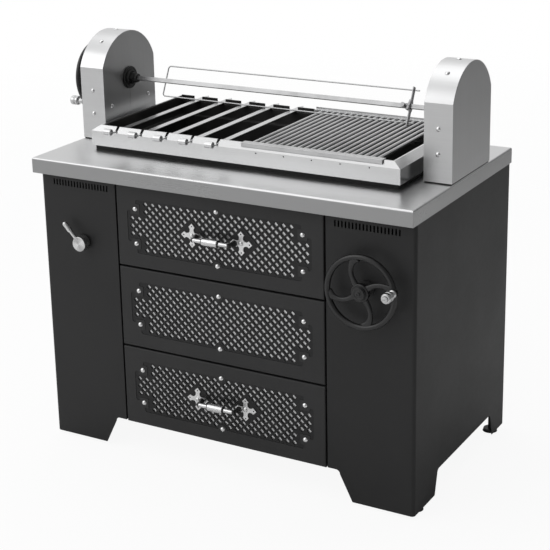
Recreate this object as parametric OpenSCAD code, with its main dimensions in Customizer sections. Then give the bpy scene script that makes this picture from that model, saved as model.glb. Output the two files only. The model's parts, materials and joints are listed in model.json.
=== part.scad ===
// Mangal grill: a steel cabinet with a charcoal well under a stainless worktop, two spit towers,
// a hand-turned spit, skewers, a grate, a charcoal bed raised by a handwheel, and two drawers.
// The floor is at z = 0 and the front looks towards -Y.

/* [Worktop] */
// Width of the worktop
worktop_w = 1200; // [1160:10:1400]
// Depth of the worktop
worktop_d = 690; // [670:10:800]
// Height of the worktop's top face above the floor
worktop_h = 880; // [870:10:950]
// Height of the worktop's folded edge
worktop_edge = 45; // [35:1:60]
// Radius of the worktop's upper edges
worktop_round = 5; // [3:0.5:8]

/* [Cabinet] */
// Thickness of the folded sheets
sheet = 2; // [1.5:0.25:2.5]
// How far the worktop stands out past each side
side_overhang = 5; // [4:1:20]
// How far the worktop stands out past the front
front_overhang = 32; // [20:1:40]
// How far the worktop stands out past the back
rear_overhang = 2.5; // [2.5:0.5:20]
// Width of each side column
column_w = 259.5; // [250:0.5:265]
// Outer radius of the columns' vertical bends
column_bend = 10; // [6:1:16]
// Height of the feet that are cut into the columns
foot_h = 88; // [70:1:110]
// Height of the gap between the feet on the side panel
side_foot_h = 71.5; // [50:0.5:90]
// Gap between the sheet feet and the floor
foot_lift = 10; // [5:1:15]
// Width of a front foot at the floor
front_foot_w = 184; // [120:1:190]
// How much wider a front foot is at its top
front_foot_flare = 50; // [14:1:54]
// Width of the front foot on the side panel at the floor
side_foot_w = 140; // [100:1:200]
// Width of the rear foot on the side panel at the floor
rear_foot_w = 88; // [60:1:140]
// How much wider a foot on the side panel is at its top
side_foot_flare = 28; // [14:1:40]
// Diameter of a levelling foot's pad
pad_d = 44; // [25:1:50]

/* [Vents] */
// Number of vent slots in each column
vent_count = 19; // [9:1:19]
// Distance from one vent slot to the next
vent_pitch = 10.3; // [8:0.1:10.5]
// Width of a vent slot
vent_w = 4.6; // [3:0.1:6]
// Height of a vent slot
vent_h = 17.5; // [10:0.5:25]
// Distance from the worktop's lower edge to the vent slots
vent_drop = 20; // [12:1:40]

/* [Drawers] */
// Distance from one drawer row to the next
row_pitch = 245.5; // [244:0.5:250]
// Gap round the drawer fronts
front_gap = 5; // [3:0.5:7]
// Depth of the folded drawer fronts
front_depth = 20; // [14:1:24]
// How far the fronts stand out from the columns
front_proud = 2; // [0:0.5:4]
// Depth of the drawer boxes
drawer_depth = 470; // [420:10:520]
// Height of the ash pan
ash_pan_h = 75; // [60:1:80]
// Height of the lower drawer's box
drawer_box_h = 200; // [120:5:210]
// How far the drawers slide out
drawer_travel = 350; // [250:10:360]

/* [Perforated plates] */
// Distance from a front's side edge to its plate
plate_margin = 36; // [30:1:60]
// Height of a plate
plate_h = 158.5; // [150:0.5:190]
// Thickness of a plate
plate_t = 2; // [1.5:0.5:3]
// How far a plate lies behind the front's face
plate_sink = 1; // [0.5:0.5:2]
// How far a plate is above the middle of its front
plate_rise = 1.5; // [0:0.5:6]
// Distance from one perforation to the next along a row
hole_pitch = 23.3; // [20:0.1:26]
// Distance from one row of perforations to the next but one
hole_rise = 22.8; // [20:0.1:26]
// Size of a perforation from corner to corner
hole_diag = 15; // [8:0.5:16]
// Distance of the corner studs from the plate's ends
stud_inset = 26.9; // [20:0.1:32]
// Distance of the corner studs from the plate's middle, upwards
stud_z = 51.5; // [45:0.5:70]
// Diameter of a stud's head
stud_d = 15; // [10:0.5:18]

/* [Drawer handles] */
// Distance between the two cross plates of a handle
handle_span = 158; // [130:1:200]
// Length of one arm of a cross plate
cross_arm = 35; // [28:1:42]
// How far the handle's bar stands out from the cross plates
handle_reach = 38; // [30:1:45]
// Diameter of the handle's bar
bar_d = 13; // [10:0.5:16]
// Diameter of the handle's sleeve
sleeve_d = 23; // [18:0.5:28]
// Length of the handle's sleeve
sleeve_l = 50; // [30:1:70]

/* [Controls] */
// Distance of the handwheel from the cabinet's right side
control_inset = 139; // [132:0.5:145]
// Distance of the handwheel below the worktop's top face
control_drop = 238; // [236:1:260]
// Distance of the air lever from the cabinet's left side
lever_inset = 144.5; // [134:0.5:146]
// Distance of the air lever below the worktop's top face
lever_drop = 242.5; // [236:0.5:260]
// Diameter of the lever's knob
knob_d = 44; // [36:1:50]
// Length of the lever's knob
knob_l = 27; // [20:1:36]
// Length of the lever from the knob's middle to its tip
lever_l = 80; // [55:1:95]
// Tilt of the lever from upright at rest
lever_tilt = 43; // [0:1:60]

/* [Handwheels] */
// Diameter of a handwheel
wheel_d = 209; // [180:1:230]
// Diameter of a handwheel's rim section
rim_d = 16; // [12:0.5:20]
// Number of spokes
spoke_count = 4; // [3:1:6]
// Sweep of each curved spoke
spoke_sweep = 25; // [0:1:30]
// Distance from the panel to the middle of a handwheel's rim
wheel_gap = 38; // [34:1:50]
// Diameter of the handwheel shafts
shaft_d = 18; // [14:0.5:20]
// Diameter of the turning grip
grip_d = 28; // [22:1:32]
// Length of the turning grip
grip_l = 44; // [34:1:55]
// Place of the grip on the front handwheel
front_grip_angle = 9; // [-180:1:180]
// Place of the grip on the spit's handwheel
spit_grip_angle = -50; // [-180:1:180]

/* [Spit towers] */
// Width of a tower
tower_w = 82; // [70:1:95]
// Depth of a tower
tower_d = 268; // [250:1:280]
// Distance of the towers from the worktop's side edges
tower_inset = 2; // [0:1:10]
// Distance from the worktop's front edge to the towers
tower_front = 251; // [245:1:260]
// Height of the spit above the worktop
spit_h = 168; // [165:1:190]
// Radius of the towers' round tops
arch_r = 143; // [141:1:155]
// Width across the square spit
spit_square = 12; // [10:0.5:16]
// Tilt of the fork from upright at rest
fork_tilt = 26; // [-90:1:90]
// Distance between the spit and each prong of the fork
prong_offset = 46; // [35:1:46]
// Diameter of the fork's wire
wire_d = 4; // [3:0.5:5]
// Distance from the hub's collar to the fork's bent end
fork_gap = 100; // [60:1:140]
// Distance from the fork's tips to the right tower
fork_tip_gap = 81; // [60:1:120]
// Distance from the fork's tips back to its plate
fork_plate_back = 19; // [12:1:40]

/* [Grill box] */
// Gap between the grill box and each tower
box_gap = 21.5; // [16:0.5:30]
// Depth of the grill box
box_d = 468; // [440:1:480]
// Height of the black base under the grill box
plinth_h = 14; // [8:1:20]
// Height of the grill box's upright front above the worktop
box_front_h = 57; // [50:1:57]
// Height of the grill box's lip above the worktop
lip_h = 73; // [70:1:76]
// Run of the slope from the front up to the lip
front_run = 15.5; // [12:0.5:18]
// Run of the slope from the side up to the lip
side_run = 24; // [15:0.5:26]
// Width of the flat lip
lip_land = 4.5; // [4:0.5:8]
// Width of the ledge inside the grill box
ledge = 18; // [14:1:22]
// Depth of the charcoal well below the worktop
well_depth = 188; // [185:1:195]

/* [Skewers] */
// Number of skewers
skewer_count = 5; // [5:1:5]
// Distance of the first skewer from the rim's left end
skewer_inset = 57; // [45:1:65]
// Distance of the last skewer from the cabinet's middle
skewer_last = 67.4; // [50:0.1:80]
// Width of a skewer's blade
blade_w = 20; // [14:1:22]
// Thickness of a skewer's blade
blade_t = 3; // [2:0.5:4]
// How far a skewer reaches in front of the lip
skewer_front = 52; // [40:1:60]
// How far a skewer reaches behind its rest
skewer_rear = 60; // [40:1:70]
// Diameter of the rolled end of a skewer
eye_d = 18; // [14:1:20]

/* [Grate] */
// Gap between the grate and the rim's right end
grate_gap = 26; // [10:1:40]
// Number of grate bars
bar_count = 20; // [10:1:22]
// Width of a grate bar
bar_w = 10; // [6:1:10]

/* [Charcoal lift] */
// Height that the charcoal bed can rise from rest
lift_up = 60; // [40:1:60]
// Height that the charcoal bed can sink from rest
lift_down = 40; // [20:1:40]
// Module of the pinion and the rack
gear_module = 3; // [2.5:0.25:3]
// Teeth of the pinion
pinion_teeth = 14; // [12:1:15]
// Face width of the pinion
pinion_w = 18; // [12:1:24]

/* [Hidden] */
$fn = 48;

// Clearances
slip = 0.3;
running = 0.05;
snug = 0.02;

// Heights and half widths that several pieces share
top = worktop_h;
half_w = worktop_w / 2;
cabinet_hw = half_w - side_overhang;
cabinet_front = front_overhang;
cabinet_back = worktop_d - rear_overhang;
cabinet_d = cabinet_back - cabinet_front;
cabinet_top = top - sheet;
body_z = foot_lift + foot_h;
opening_hw = cabinet_hw - column_w;
column_return = 25;
control_x = cabinet_hw - control_inset;
control_z = top - control_drop;
lever_x = cabinet_hw - lever_inset;
lever_z = top - lever_drop;
knob_gap = 4.5;
foot_corner = 12;
foot_steps = 6;

// The spit axis, which the towers, the grill box and the well are centred on
spit_y = tower_front + tower_d / 2;
spit_z = top + spit_h;
tower_out_x = half_w - tower_inset;
tower_in_x = tower_out_x - tower_w;
tower_lift = 3;
tower_base_h = 18;
bush_r = 14;
bush_l = 12;

// The grill box and the charcoal well
box_hw = tower_in_x - box_gap;
box_hd = box_d / 2;
rim_hw = box_hw - side_run - lip_land;
rim_hd = box_hd - front_run - lip_land;
well_hw = rim_hw - ledge;
well_hd = rim_hd - ledge;
plinth_inset = 8;
hopper_drop = 18;
hopper_run = 126;
rest_z = lip_h - 13;
rest_t = 4;
notch_w = 9;
neck_hw = 3;
skewer_gap = 30;
skewer_first = rim_hw - skewer_inset;
skewer_pitch = (skewer_first - skewer_last) / (skewer_count - 1);
half_split = 3;
grate_left = half_split + 7;
grate_w = rim_hw - grate_gap - grate_left;

// Drawer rows, counted from the top
row_top_gap = 7;
front_h = row_pitch - front_gap;
front_hw = opening_hw - front_gap;
front_y = cabinet_front - front_proud;
box_side_gap = 13;
drawer_hw = opening_hw - box_side_gap;
runner_h = 45;
runner_l = drawer_travel + 100;
runner_lip = 12;
liner_y = front_y + front_depth;
partition_x = opening_hw + sheet;
partition_top = top - well_depth - hopper_drop - 4;
plate_w = 2 * (front_hw - plate_margin);
plate_y = front_y + plate_sink;
plate_flange = 6;
backing_t = 1;
backing_gap = 2;
window_gap = 0.2;
plate_notch_w = 30;
plate_notch_h = 33.5;
stud_x = plate_w / 2 - stud_inset;
bite = 15.5;
middle_bite = 14;
middle_stud_z = plate_h / 2 - 1;
cross_t = 3;

// Handwheels
wheel_r = wheel_d / 2 - rim_d / 2;
grip_start = rim_d / 2 + 1.3;
wheel_reach = grip_start + grip_l + 2.7;
stud_r = 4;
hub_front = 12;
hub_rear = 19;

// Rack and pinion
pitch_r = gear_module * pinion_teeth / 2;
pressure = 20;
rack_pitch = PI * gear_module;
tooth_play = 0.1;
rack_x = control_x + pitch_r;
rack_back = rack_x + 19;
rack_w = 16;
carriage_t = 3;
post = 20;
post_dy = 105;
post_x = rack_back + carriage_t + 18;
arm_dy = 80;
arm_w = 16;
arm_h = 10;
arm_top = top - 132;
hanger_y = spit_y + 55;
hanger_t = 8;
shaft_end = hanger_y + hanger_t + 5;
tray_h = 30;
tray_gap = 6;

// The air lever's shaft
lever_shaft_r = 6;
damper_l = 110;
damper_front = spit_y - 155;
damper_back = damper_front + damper_l;
port_z = top - well_depth + 13;
port_h = 55;

// The whole object's corners give the origin, in the middle of its footprint
low_x = -tower_out_x - wheel_gap - wheel_reach;
low_y = cabinet_front - wheel_gap - wheel_reach;
module place() {
    translate([-(low_x + half_w) / 2, -(low_y + worktop_d) / 2, 0]) children();
}

// Shared shapes
// A rectangle with its two upper corners rounded
module round_topped(w, h, r) {
    square([w, h - r]);
    translate([r, 0]) square([w - 2 * r, h]);
    for (x = [r, w - r]) translate([x, h - r]) circle(r = r);
}

// A block whose upper edges are rounded on all four sides
module round_topped_block(w, d, h, r) {
    intersection() {
        translate([0, d, 0]) rotate([90, 0, 0]) linear_extrude(d) round_topped(w, h, r);
        rotate([90, 0, 90]) linear_extrude(w) round_topped(d, h, r);
    }
}

// A plate that stands in the XZ plane, with its back at y and its front at y - t
module upright(y, t) {
    translate([0, y, 0]) rotate([90, 0, 0]) linear_extrude(t) children();
}

// A profile drawn in the YZ plane and drawn out along X from x0 to x1
module along_x(x0, x1) {
    translate([x0, 0, 0]) rotate([90, 0, 90]) linear_extrude(x1 - x0) children();
}

// A profile drawn in the XZ plane and drawn out along Y from y0 to y1
module along_y(y0, y1) {
    translate([0, y1, 0]) rotate([90, 0, 0]) linear_extrude(y1 - y0) children();
}

module both_sides() {
    children();
    mirror([1, 0, 0]) children();
}

// A pan head with its flat face at z = 0
module dome_head(r, h) {
    ball = (r * r + h * h) / (2 * h);
    intersection() {
        translate([0, 0, h - ball]) sphere(r = ball);
        cylinder(r = r + 1, h = h + 1);
    }
}

// Worktop
module worktop() {
    inner_w = worktop_w - 2 * sheet;
    inner_d = worktop_d - 2 * sheet;
    place() color([0.78, 0.79, 0.8]) difference() {
        translate([-half_w, 0, top - worktop_edge])
            round_topped_block(worktop_w, worktop_d, worktop_edge, worktop_round);
        translate([-inner_w / 2, sheet, top - worktop_edge - 1])
            round_topped_block(inner_w, inner_d, worktop_edge + 1 - sheet, worktop_round - sheet);
        translate([-well_hw - 1, spit_y - well_hd - 1, top - worktop_edge])
            cube([2 * well_hw + 2, 2 * well_hd + 2, worktop_edge + 1]);
    }
}

// Side columns
module bent_corner(w, d, r) {
    translate([r, 0]) square([w - r, d]);
    translate([0, r]) square([w, d - r]);
    translate([r, r]) circle(r = r);
}

module column_plan() {
    difference() {
        bent_corner(column_w, cabinet_d, column_bend);
        translate([sheet, sheet])
            bent_corner(column_w - 2 * sheet, cabinet_d - 2 * sheet, column_bend - sheet);
        translate([column_w - sheet - 1, column_return])
            square([sheet + 2, cabinet_d]);
        translate([column_return, cabinet_d - sheet - 1]) square([column_w, sheet + 2]);
    }
}

// A foot's free edge: it leans out as it rises and rounds over at its top
function foot_edge(w, flare, height) = concat(
    [[w, -1], [w, 0]],
    [for (s = [0 : foot_steps])
        let (a = s * 90 / foot_steps)
            [w + flare - foot_corner * cos(a), height - foot_corner * (1 - sin(a))]]
);

// The open space between the feet, seen from the front, with the column's outer edge at x = 0
module front_foot_space() {
    polygon(concat(
        foot_edge(front_foot_w, front_foot_flare, foot_h), [[column_w + 1, foot_h], [column_w + 1, -1]]
    ));
}

// The open space between the feet, seen from the side, with the cabinet's front at x = 0
module side_foot_space() {
    front = foot_edge(side_foot_w, side_foot_flare, side_foot_h);
    rear = foot_edge(rear_foot_w, side_foot_flare, side_foot_h);
    last = len(rear) - 1;
    polygon(concat(front, [for (k = [last : -1 : 0]) [cabinet_d - rear[k][0], rear[k][1]]]));
}

module vent_slots() {
    row = (vent_count - 1) * vent_pitch;
    for (i = [0 : vent_count - 1])
        translate([i * vent_pitch - row / 2 - vent_w / 2, 0]) square([vent_w, vent_h]);
}

// The space that the inside of the worktop's rounded back fold takes from the sheets under it
module rear_fold_space() {
    translate([-half_w, worktop_d - worktop_round, top - worktop_round])
        cube([worktop_w, worktop_round, worktop_round]);
}

// The left column, with the hole for a control's bush
module column(hole_x, hole_z, hole_r) {
    height = cabinet_top - foot_lift;
    difference() {
        translate([-cabinet_hw, cabinet_front, foot_lift]) linear_extrude(height) column_plan();
        translate([-cabinet_hw, cabinet_front + column_return + 1, foot_lift])
            rotate([90, 0, 0]) linear_extrude(column_return + 2) front_foot_space();
        translate([-cabinet_hw - 1, cabinet_front, foot_lift])
            rotate([90, 0, 90]) linear_extrude(column_return + 1) side_foot_space();
        translate([-control_x, cabinet_front + sheet + 1, top - worktop_edge - vent_drop - vent_h])
            rotate([90, 0, 0]) linear_extrude(sheet + 2) vent_slots();
        translate([-hole_x, cabinet_front + sheet + 1, hole_z])
            rotate([90, 0, 0]) cylinder(r = hole_r, h = sheet + 2);
        rear_fold_space();
    }
}

module left_column() {
    place() color([0.14, 0.14, 0.145]) column(lever_x, lever_z, lever_bush_r + snug);
}

module right_column() {
    place() color([0.14, 0.14, 0.145]) mirror([1, 0, 0]) column(control_x, control_z, bush_r + snug);
}

// Back, floor and rail between the columns
module back_panel() {
    place() color([0.13, 0.13, 0.135]) difference() {
        translate([-cabinet_hw + sheet, cabinet_back - 2 * sheet, body_z])
            cube([2 * (cabinet_hw - sheet), sheet, cabinet_top - body_z]);
        rear_fold_space();
    }
}

module base_floor() {
    floor_y = cabinet_front + column_return;
    place() color([0.13, 0.13, 0.135])
        translate([-cabinet_hw + sheet, floor_y, body_z])
            cube([2 * (cabinet_hw - sheet), cabinet_back - 2 * sheet - floor_y, sheet]);
}

module front_rail() {
    rail_d = 28;
    place() color([0.13, 0.13, 0.135]) {
        translate([-opening_hw, cabinet_front + sheet, top - worktop_edge - sheet])
            cube([2 * opening_hw, sheet, worktop_edge]);
        translate([-opening_hw, cabinet_front + sheet, cabinet_top - sheet])
            cube([2 * opening_hw, rail_d, sheet]);
    }
}

// Walls between the columns and the drawers
module partitions() {
    floor_z = body_z + sheet;
    place() color([0.13, 0.13, 0.135]) both_sides()
        translate([partition_x, cabinet_front + sheet, floor_z])
            cube([sheet, cabinet_d - 3 * sheet, partition_top - floor_z]);
}

// Height of the middle of a drawer row's front
function row_z(row) = top - worktop_edge - row_top_gap - front_h / 2 - row * row_pitch;
function plate_z(row) = row_z(row) + plate_rise;
ash_pan_z = row_z(0) - front_h / 2 + 6;
drawer_box_z = row_z(2) - front_h / 2 + 11;
ash_runner_z = ash_pan_z + ash_pan_h / 2;
drawer_runner_z = drawer_box_z + drawer_box_h / 2;

// A channel that a drawer's rail slides in, open towards the drawer
module runner_channel(z) {
    translate([opening_hw + sheet - runner_lip, liner_y + 10, z - runner_h / 2]) difference() {
        cube([runner_lip, runner_l, runner_h]);
        translate([-1, -1, sheet]) cube([runner_lip + 1 - sheet, runner_l + 2, runner_h - 2 * sheet]);
    }
}

module runner_channels() {
    place() color([0.7, 0.71, 0.72]) both_sides() {
        runner_channel(ash_runner_z);
        runner_channel(drawer_runner_z);
    }
}

// Screw feet under the floor
module levelling_feet() {
    stem_r = 6;
    pad_h = 9;
    place() color([0.05, 0.05, 0.05]) both_sides()
        for (y = [cabinet_front + 64, cabinet_back - 42])
            translate([cabinet_hw - sheet - pad_d / 2, y, 0]) {
                cylinder(r1 = pad_d / 2, r2 = pad_d / 2 - 3, h = pad_h);
                cylinder(r = stem_r, h = body_z);
            }
}

// Drawer fronts
// A folded front with turned-back edges, open at the back, and a window for the perforated plate
module folded_front(row) {
    bend = 4;
    difference() {
        translate([-front_hw, front_y, row_z(row) - front_h / 2]) intersection() {
            linear_extrude(front_h) union() {
                translate([bend, 0]) square([2 * front_hw - 2 * bend, front_depth]);
                translate([0, bend]) square([2 * front_hw, front_depth - bend]);
                for (x = [bend, 2 * front_hw - bend]) translate([x, bend]) circle(r = bend);
            }
            rotate([90, 0, 90]) linear_extrude(2 * front_hw) union() {
                translate([0, bend]) square([front_depth, front_h - 2 * bend]);
                translate([bend, 0]) square([front_depth - bend, front_h]);
                for (z = [bend, front_h - bend]) translate([bend, z]) circle(r = bend);
            }
        }
        translate([sheet - front_hw, front_y + sheet, row_z(row) - front_h / 2 + sheet])
            cube([2 * front_hw - 2 * sheet, front_depth, front_h - 2 * sheet]);
        translate([0, 0, plate_z(row)]) upright(front_y + sheet + 1, sheet + 2) plate_outline(-window_gap);
    }
}

// Outline of a perforated plate: the corners are cut back and give way to the studs
module plate_outline(shrink) {
    corner_r = 7;
    hw = plate_w / 2 - shrink;
    hh = plate_h / 2 - shrink;
    difference() {
        union() {
            rounded_rectangle(hw - plate_notch_w, hh, corner_r);
            rounded_rectangle(hw, hh - plate_notch_h, corner_r);
        }
        for (sx = [-1, 1], sz = [-1, 1]) translate([sx * stud_x, sz * stud_z])
            rounded_rectangle(bite + shrink, bite + shrink, 3);
        for (sz = [-1, 1]) translate([0, sz * middle_stud_z]) circle(r = middle_bite + shrink);
    }
}

module rounded_rectangle(hx, hz, r) {
    square([2 * hx, 2 * (hz - r)], center = true);
    square([2 * (hx - r), 2 * hz], center = true);
    for (x = [r - hx, hx - r], z = [r - hz, hz - r]) translate([x, z]) circle(r = r);
}

// A perforation is left out near the plate's edges, the middle studs and the handle's crosses
function in_field(x, z, crosses) =
    let (
        edge = hole_diag / 2 + 1.5,
        beside_stud = abs(x) > stud_x - bite - edge && abs(z) > stud_z - bite - edge,
        by_middle_stud = norm([x, abs(z) - middle_stud_z]) < middle_bite + edge,
        by_cross = crosses && abs(abs(x) - handle_span / 2) + abs(z) < cross_arm + 15
    )
    abs(x) < plate_w / 2 - edge && abs(z) < plate_h / 2 - edge
    && !beside_stud && !by_middle_stud && !by_cross;

module perforations(crosses) {
    columns = floor(plate_w / 2 / hole_pitch);
    rows = floor(plate_h / 2 / hole_rise);
    for (i = [-2 * columns : 2 * columns], j = [-2 * rows : 2 * rows])
        let (x = i * hole_pitch / 2, z = j * hole_rise / 2)
            if ((i + j) % 2 == 0 && in_field(x, z, crosses))
                translate([x, z]) rotate(45) square(hole_diag / sqrt(2), center = true);
}

// The plate lies in the front's window, with a flange behind the front sheet
module perforated_plate(row, crosses) {
    flange_y = front_y + sheet;
    translate([0, 0, plate_z(row)]) difference() {
        union() {
            upright(plate_y + plate_t, plate_t) plate_outline(0);
            upright(plate_y + plate_t, plate_y + plate_t - flange_y) plate_outline(-plate_flange);
        }
        upright(plate_y + plate_t + 1, plate_t + 2) perforations(crosses);
    }
}

// A shallow tray behind the plate, with its rim against the plate's back
module backing_sheet(row) {
    rim_y = plate_y + plate_t;
    translate([0, 0, plate_z(row)]) difference() {
        upright(rim_y + backing_gap + backing_t, backing_gap + backing_t) plate_outline(1 - plate_flange);
        upright(rim_y + backing_gap, backing_gap + 1) plate_outline(backing_t + 1 - plate_flange);
    }
}

module studs(row) {
    head_h = 5;
    stud_places = concat(
        [for (sx = [-1, 1], sz = [-1, 1]) [sx * stud_x, sz * stud_z]],
        [for (sz = [-1, 1]) [0, sz * middle_stud_z]]
    );
    for (p = stud_places)
        translate([p[0], front_y, plate_z(row) + p[1]])
            rotate([90, 0, 0]) dome_head(stud_d / 2, head_h);
}

// Handle
// One arm of a cross plate points along +X: a waisted neck and a pointed head
module cross_arm_shape() {
    neck = 6;
    head = 10;
    polygon([
        [0, -11], [cross_arm * 0.3, -neck - 1], [cross_arm * 0.52, -neck],
        [cross_arm * 0.62, -neck - 1.5], [cross_arm * 0.7, -head], [cross_arm, 0],
        [cross_arm * 0.7, head], [cross_arm * 0.62, neck + 1.5], [cross_arm * 0.52, neck],
        [cross_arm * 0.3, neck + 1], [0, 11]
    ]);
}

module cross_plate_shape() {
    screw_r = 2;
    difference() {
        union() {
            for (a = [0 : 90 : 270]) rotate(a) cross_arm_shape();
            circle(r = 13);
        }
        for (a = [0 : 90 : 270]) rotate(a) translate([cross_arm * 0.76, 0]) circle(r = screw_r);
    }
}

module handle_crosses(row) {
    for (sx = [-1, 1]) translate([sx * handle_span / 2, 0, plate_z(row)]) {
        upright(plate_y, cross_t) cross_plate_shape();
        translate([0, plate_y - cross_t, 0]) rotate([90, 0, 0]) dome_head(7, 5);
    }
}

// The bar, its sleeve and the two posts that hold it on the crosses' inner arms
module handle(row) {
    post_x = handle_span / 2 - 16.5;
    post_end = handle_reach + bar_d / 2 + 1;
    foot_t = 4;
    foot_w = 12;
    foot_tall = 18;
    translate([0, plate_y - cross_t, plate_z(row)]) {
        translate([-post_x, -handle_reach, 0]) rotate([0, 90, 0]) cylinder(d = bar_d, h = 2 * post_x);
        translate([-sleeve_l / 2, -handle_reach, 0]) rotate([0, 90, 0]) rotate_extrude() polygon([
            [0, 0], [sleeve_d / 2 - 2, 0], [sleeve_d / 2, 2], [sleeve_d / 2, sleeve_l - 2],
            [sleeve_d / 2 - 2, sleeve_l], [0, sleeve_l]
        ]);
        both_sides() translate([post_x, 0, 0]) rotate([90, 0, 0]) {
            translate([-foot_w / 2, -foot_tall / 2, 0]) cube([foot_w, foot_tall, foot_t]);
            rotate_extrude() polygon([
                [0, 1], [foot_w / 2 - 0.5, 1], [foot_w / 2 - 0.5, foot_t], [8.5, foot_t + 0.5],
                [7, handle_reach - bar_d / 2], [7, post_end - 2], [5, post_end], [0, post_end]
            ]);
        }
    }
}

module middle_panel() {
    ear_h = 60;
    place() color([0.15, 0.15, 0.155]) {
        folded_front(1);
        both_sides() translate([front_hw, liner_y - 2 * sheet, row_z(1) - ear_h / 2])
            cube([front_gap, sheet, ear_h]);
    }
}

module middle_perforated_plate() {
    place() color([0.12, 0.12, 0.125]) perforated_plate(1, false);
}

module middle_backing() {
    place() color([0.62, 0.63, 0.64]) backing_sheet(1);
}

module middle_studs() {
    place() color([0.9, 0.9, 0.91]) studs(1);
}

// Grill box
// The black frame that carries the grill box and the firebox
module plinth() {
    place() color([0.03, 0.03, 0.03]) translate([0, spit_y, top]) difference() {
        translate([plinth_inset - box_hw, plinth_inset - box_hd, 0])
            cube([2 * (box_hw - plinth_inset), 2 * (box_hd - plinth_inset), plinth_h]);
        translate([-well_hw - 1, -well_hd - 1, -1])
            cube([2 * well_hw + 2, 2 * well_hd + 2, plinth_h + 2]);
    }
}

// Half width of the skin at each height: upright, then sloping in to the lip
module box_section(half, run, shrink) {
    slope = run / (lip_h - box_front_h);
    low = shrink > 0 ? plinth_h + shrink : plinth_h;
    polygon([
        [shrink - half, low], [shrink - half, box_front_h - shrink * 0.4],
        [run - half + (shrink > 0 ? shrink * 0.9 : 0), lip_h - shrink],
        [half - run - (shrink > 0 ? shrink * 0.9 : 0), lip_h - shrink],
        [half - shrink, box_front_h - shrink * 0.4], [half - shrink, low]
    ]);
}

module box_solid(shrink) {
    intersection() {
        along_x(-box_hw, box_hw) box_section(box_hd, front_run, shrink);
        along_y(-box_hd, box_hd) box_section(box_hw, side_run, shrink);
    }
}

function skewer_x(i) = -skewer_first + i * skewer_pitch;
screw_hole_r = 2;

module grill_box() {
    notch_z = rest_z + sqrt(pow(notch_w / 2, 2) - pow(neck_hw + slip, 2));
    first_screw = grate_left + 50;
    screw_pitch = (grate_w - 85) / 4;
    place() color([0.8, 0.81, 0.82]) translate([0, spit_y, top]) difference() {
        box_solid(0);
        box_solid(sheet);
        // Opening inside the lip
        translate([-rim_hw, -rim_hd, 0]) cube([2 * rim_hw, 2 * rim_hd, lip_h + 1]);
        // One notch in the front lip for each skewer
        for (i = [0 : skewer_count - 1]) translate([skewer_x(i), -rim_hd + 2, notch_z])
            rotate([90, 0, 0]) {
                cylinder(d = notch_w, h = front_run + lip_land + 3);
                translate([-notch_w / 2, 0, 0])
                    cube([notch_w, lip_h, front_run + lip_land + 3]);
            }
        // Behind the skewers the back stays low
        translate([-box_hw - 1, rim_hd - 1, box_front_h])
            cube([box_hw + 1 + half_split, box_hd, lip_h]);
        // Screw holes in the front, below the grate
        for (i = [0 : 4]) translate([first_screw + i * screw_pitch, sheet + 1 - box_hd, box_front_h - 6])
            rotate([90, 0, 0]) cylinder(r = screw_hole_r, h = sheet + 2);
    }
}

// Firebox
// The well widens to a ledge and a rim above the worktop and narrows to the ash outlet below
module well_section(half_rim, half_well, shrink, slope_run) {
    rim_top = lip_h + 1;
    ledge_z = plinth_h + shrink;
    outlet = half_well - slope_run;
    polygon([
        [-outlet, -well_depth - hopper_drop - (shrink > 0 ? 1 : 0)],
        [-outlet, -well_depth - hopper_drop + shrink],
        [shrink - half_well, -well_depth + shrink], [shrink - half_well, ledge_z],
        [shrink - half_rim, ledge_z], [shrink - half_rim, rim_top],
        [half_rim - shrink, rim_top], [half_rim - shrink, ledge_z],
        [half_well - shrink, ledge_z], [half_well - shrink, -well_depth + shrink],
        [outlet, -well_depth - hopper_drop + shrink],
        [outlet, -well_depth - hopper_drop - (shrink > 0 ? 1 : 0)]
    ]);
}

module straight_section(half_rim, half_well, shrink) {
    polygon([
        [shrink - half_well, -well_depth - hopper_drop - 2], [shrink - half_well, plinth_h + shrink],
        [shrink - half_rim, plinth_h + shrink], [shrink - half_rim, lip_h + 1],
        [half_rim - shrink, lip_h + 1], [half_rim - shrink, plinth_h + shrink],
        [half_well - shrink, plinth_h + shrink], [half_well - shrink, -well_depth - hopper_drop - 2]
    ]);
}

module well_solid(shrink) {
    intersection() {
        along_y(-rim_hd, rim_hd) well_section(rim_hw, well_hw, shrink, hopper_run);
        along_x(-rim_hw, rim_hw) straight_section(rim_hd, well_hd, shrink);
    }
}

module firebox() {
    side_top = lip_h - sheet;
    low_top = rest_z - 2;
    arm_low = arm_top - arm_h - lift_down - 4 - top;
    arm_high = arm_top + lift_up + 4 - top;
    place() color([0.06, 0.06, 0.06]) translate([0, spit_y, top]) difference() {
        well_solid(0);
        well_solid(sheet);
        translate([-rim_hw - 1, -rim_hd - 1, side_top]) cube([2 * rim_hw + 2, 2 * rim_hd + 2, 10]);
        // The front and the back are lower than the sides, under the skewers and the grate
        translate([sheet - rim_hw, -rim_hd - 1, low_top])
            cube([2 * (rim_hw - sheet), 2 * rim_hd + 2, lip_h]);
        // Slots for the lift arms
        for (sy = [-1, 1]) translate([well_hw - sheet - 1, sy * arm_dy - arm_w / 2 - 4, arm_low])
            cube([sheet + 2, arm_w + 8, arm_high - arm_low]);
        // Air port behind the damper
        translate([-well_hw - 1, damper_front + 8 - spit_y, port_z - top])
            cube([sheet + 2, damper_l - 16, port_h]);
    }
}

// The castellated rest behind the skewers
module skewer_rest() {
    rest_top = lip_h + 1;
    rest_low = plinth_h + sheet;
    place() color([0.05, 0.05, 0.05]) difference() {
        translate([-rim_hw - rest_t, spit_y + rim_hd, top + rest_low])
            cube([rim_hw + rest_t + half_split, rest_t, rest_top - rest_low]);
        for (i = [0 : skewer_count - 1])
            translate([skewer_x(i) - skewer_gap / 2, spit_y + rim_hd - 1, top + rest_z])
                cube([skewer_gap, rest_t + 2, lip_h]);
    }
}

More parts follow.
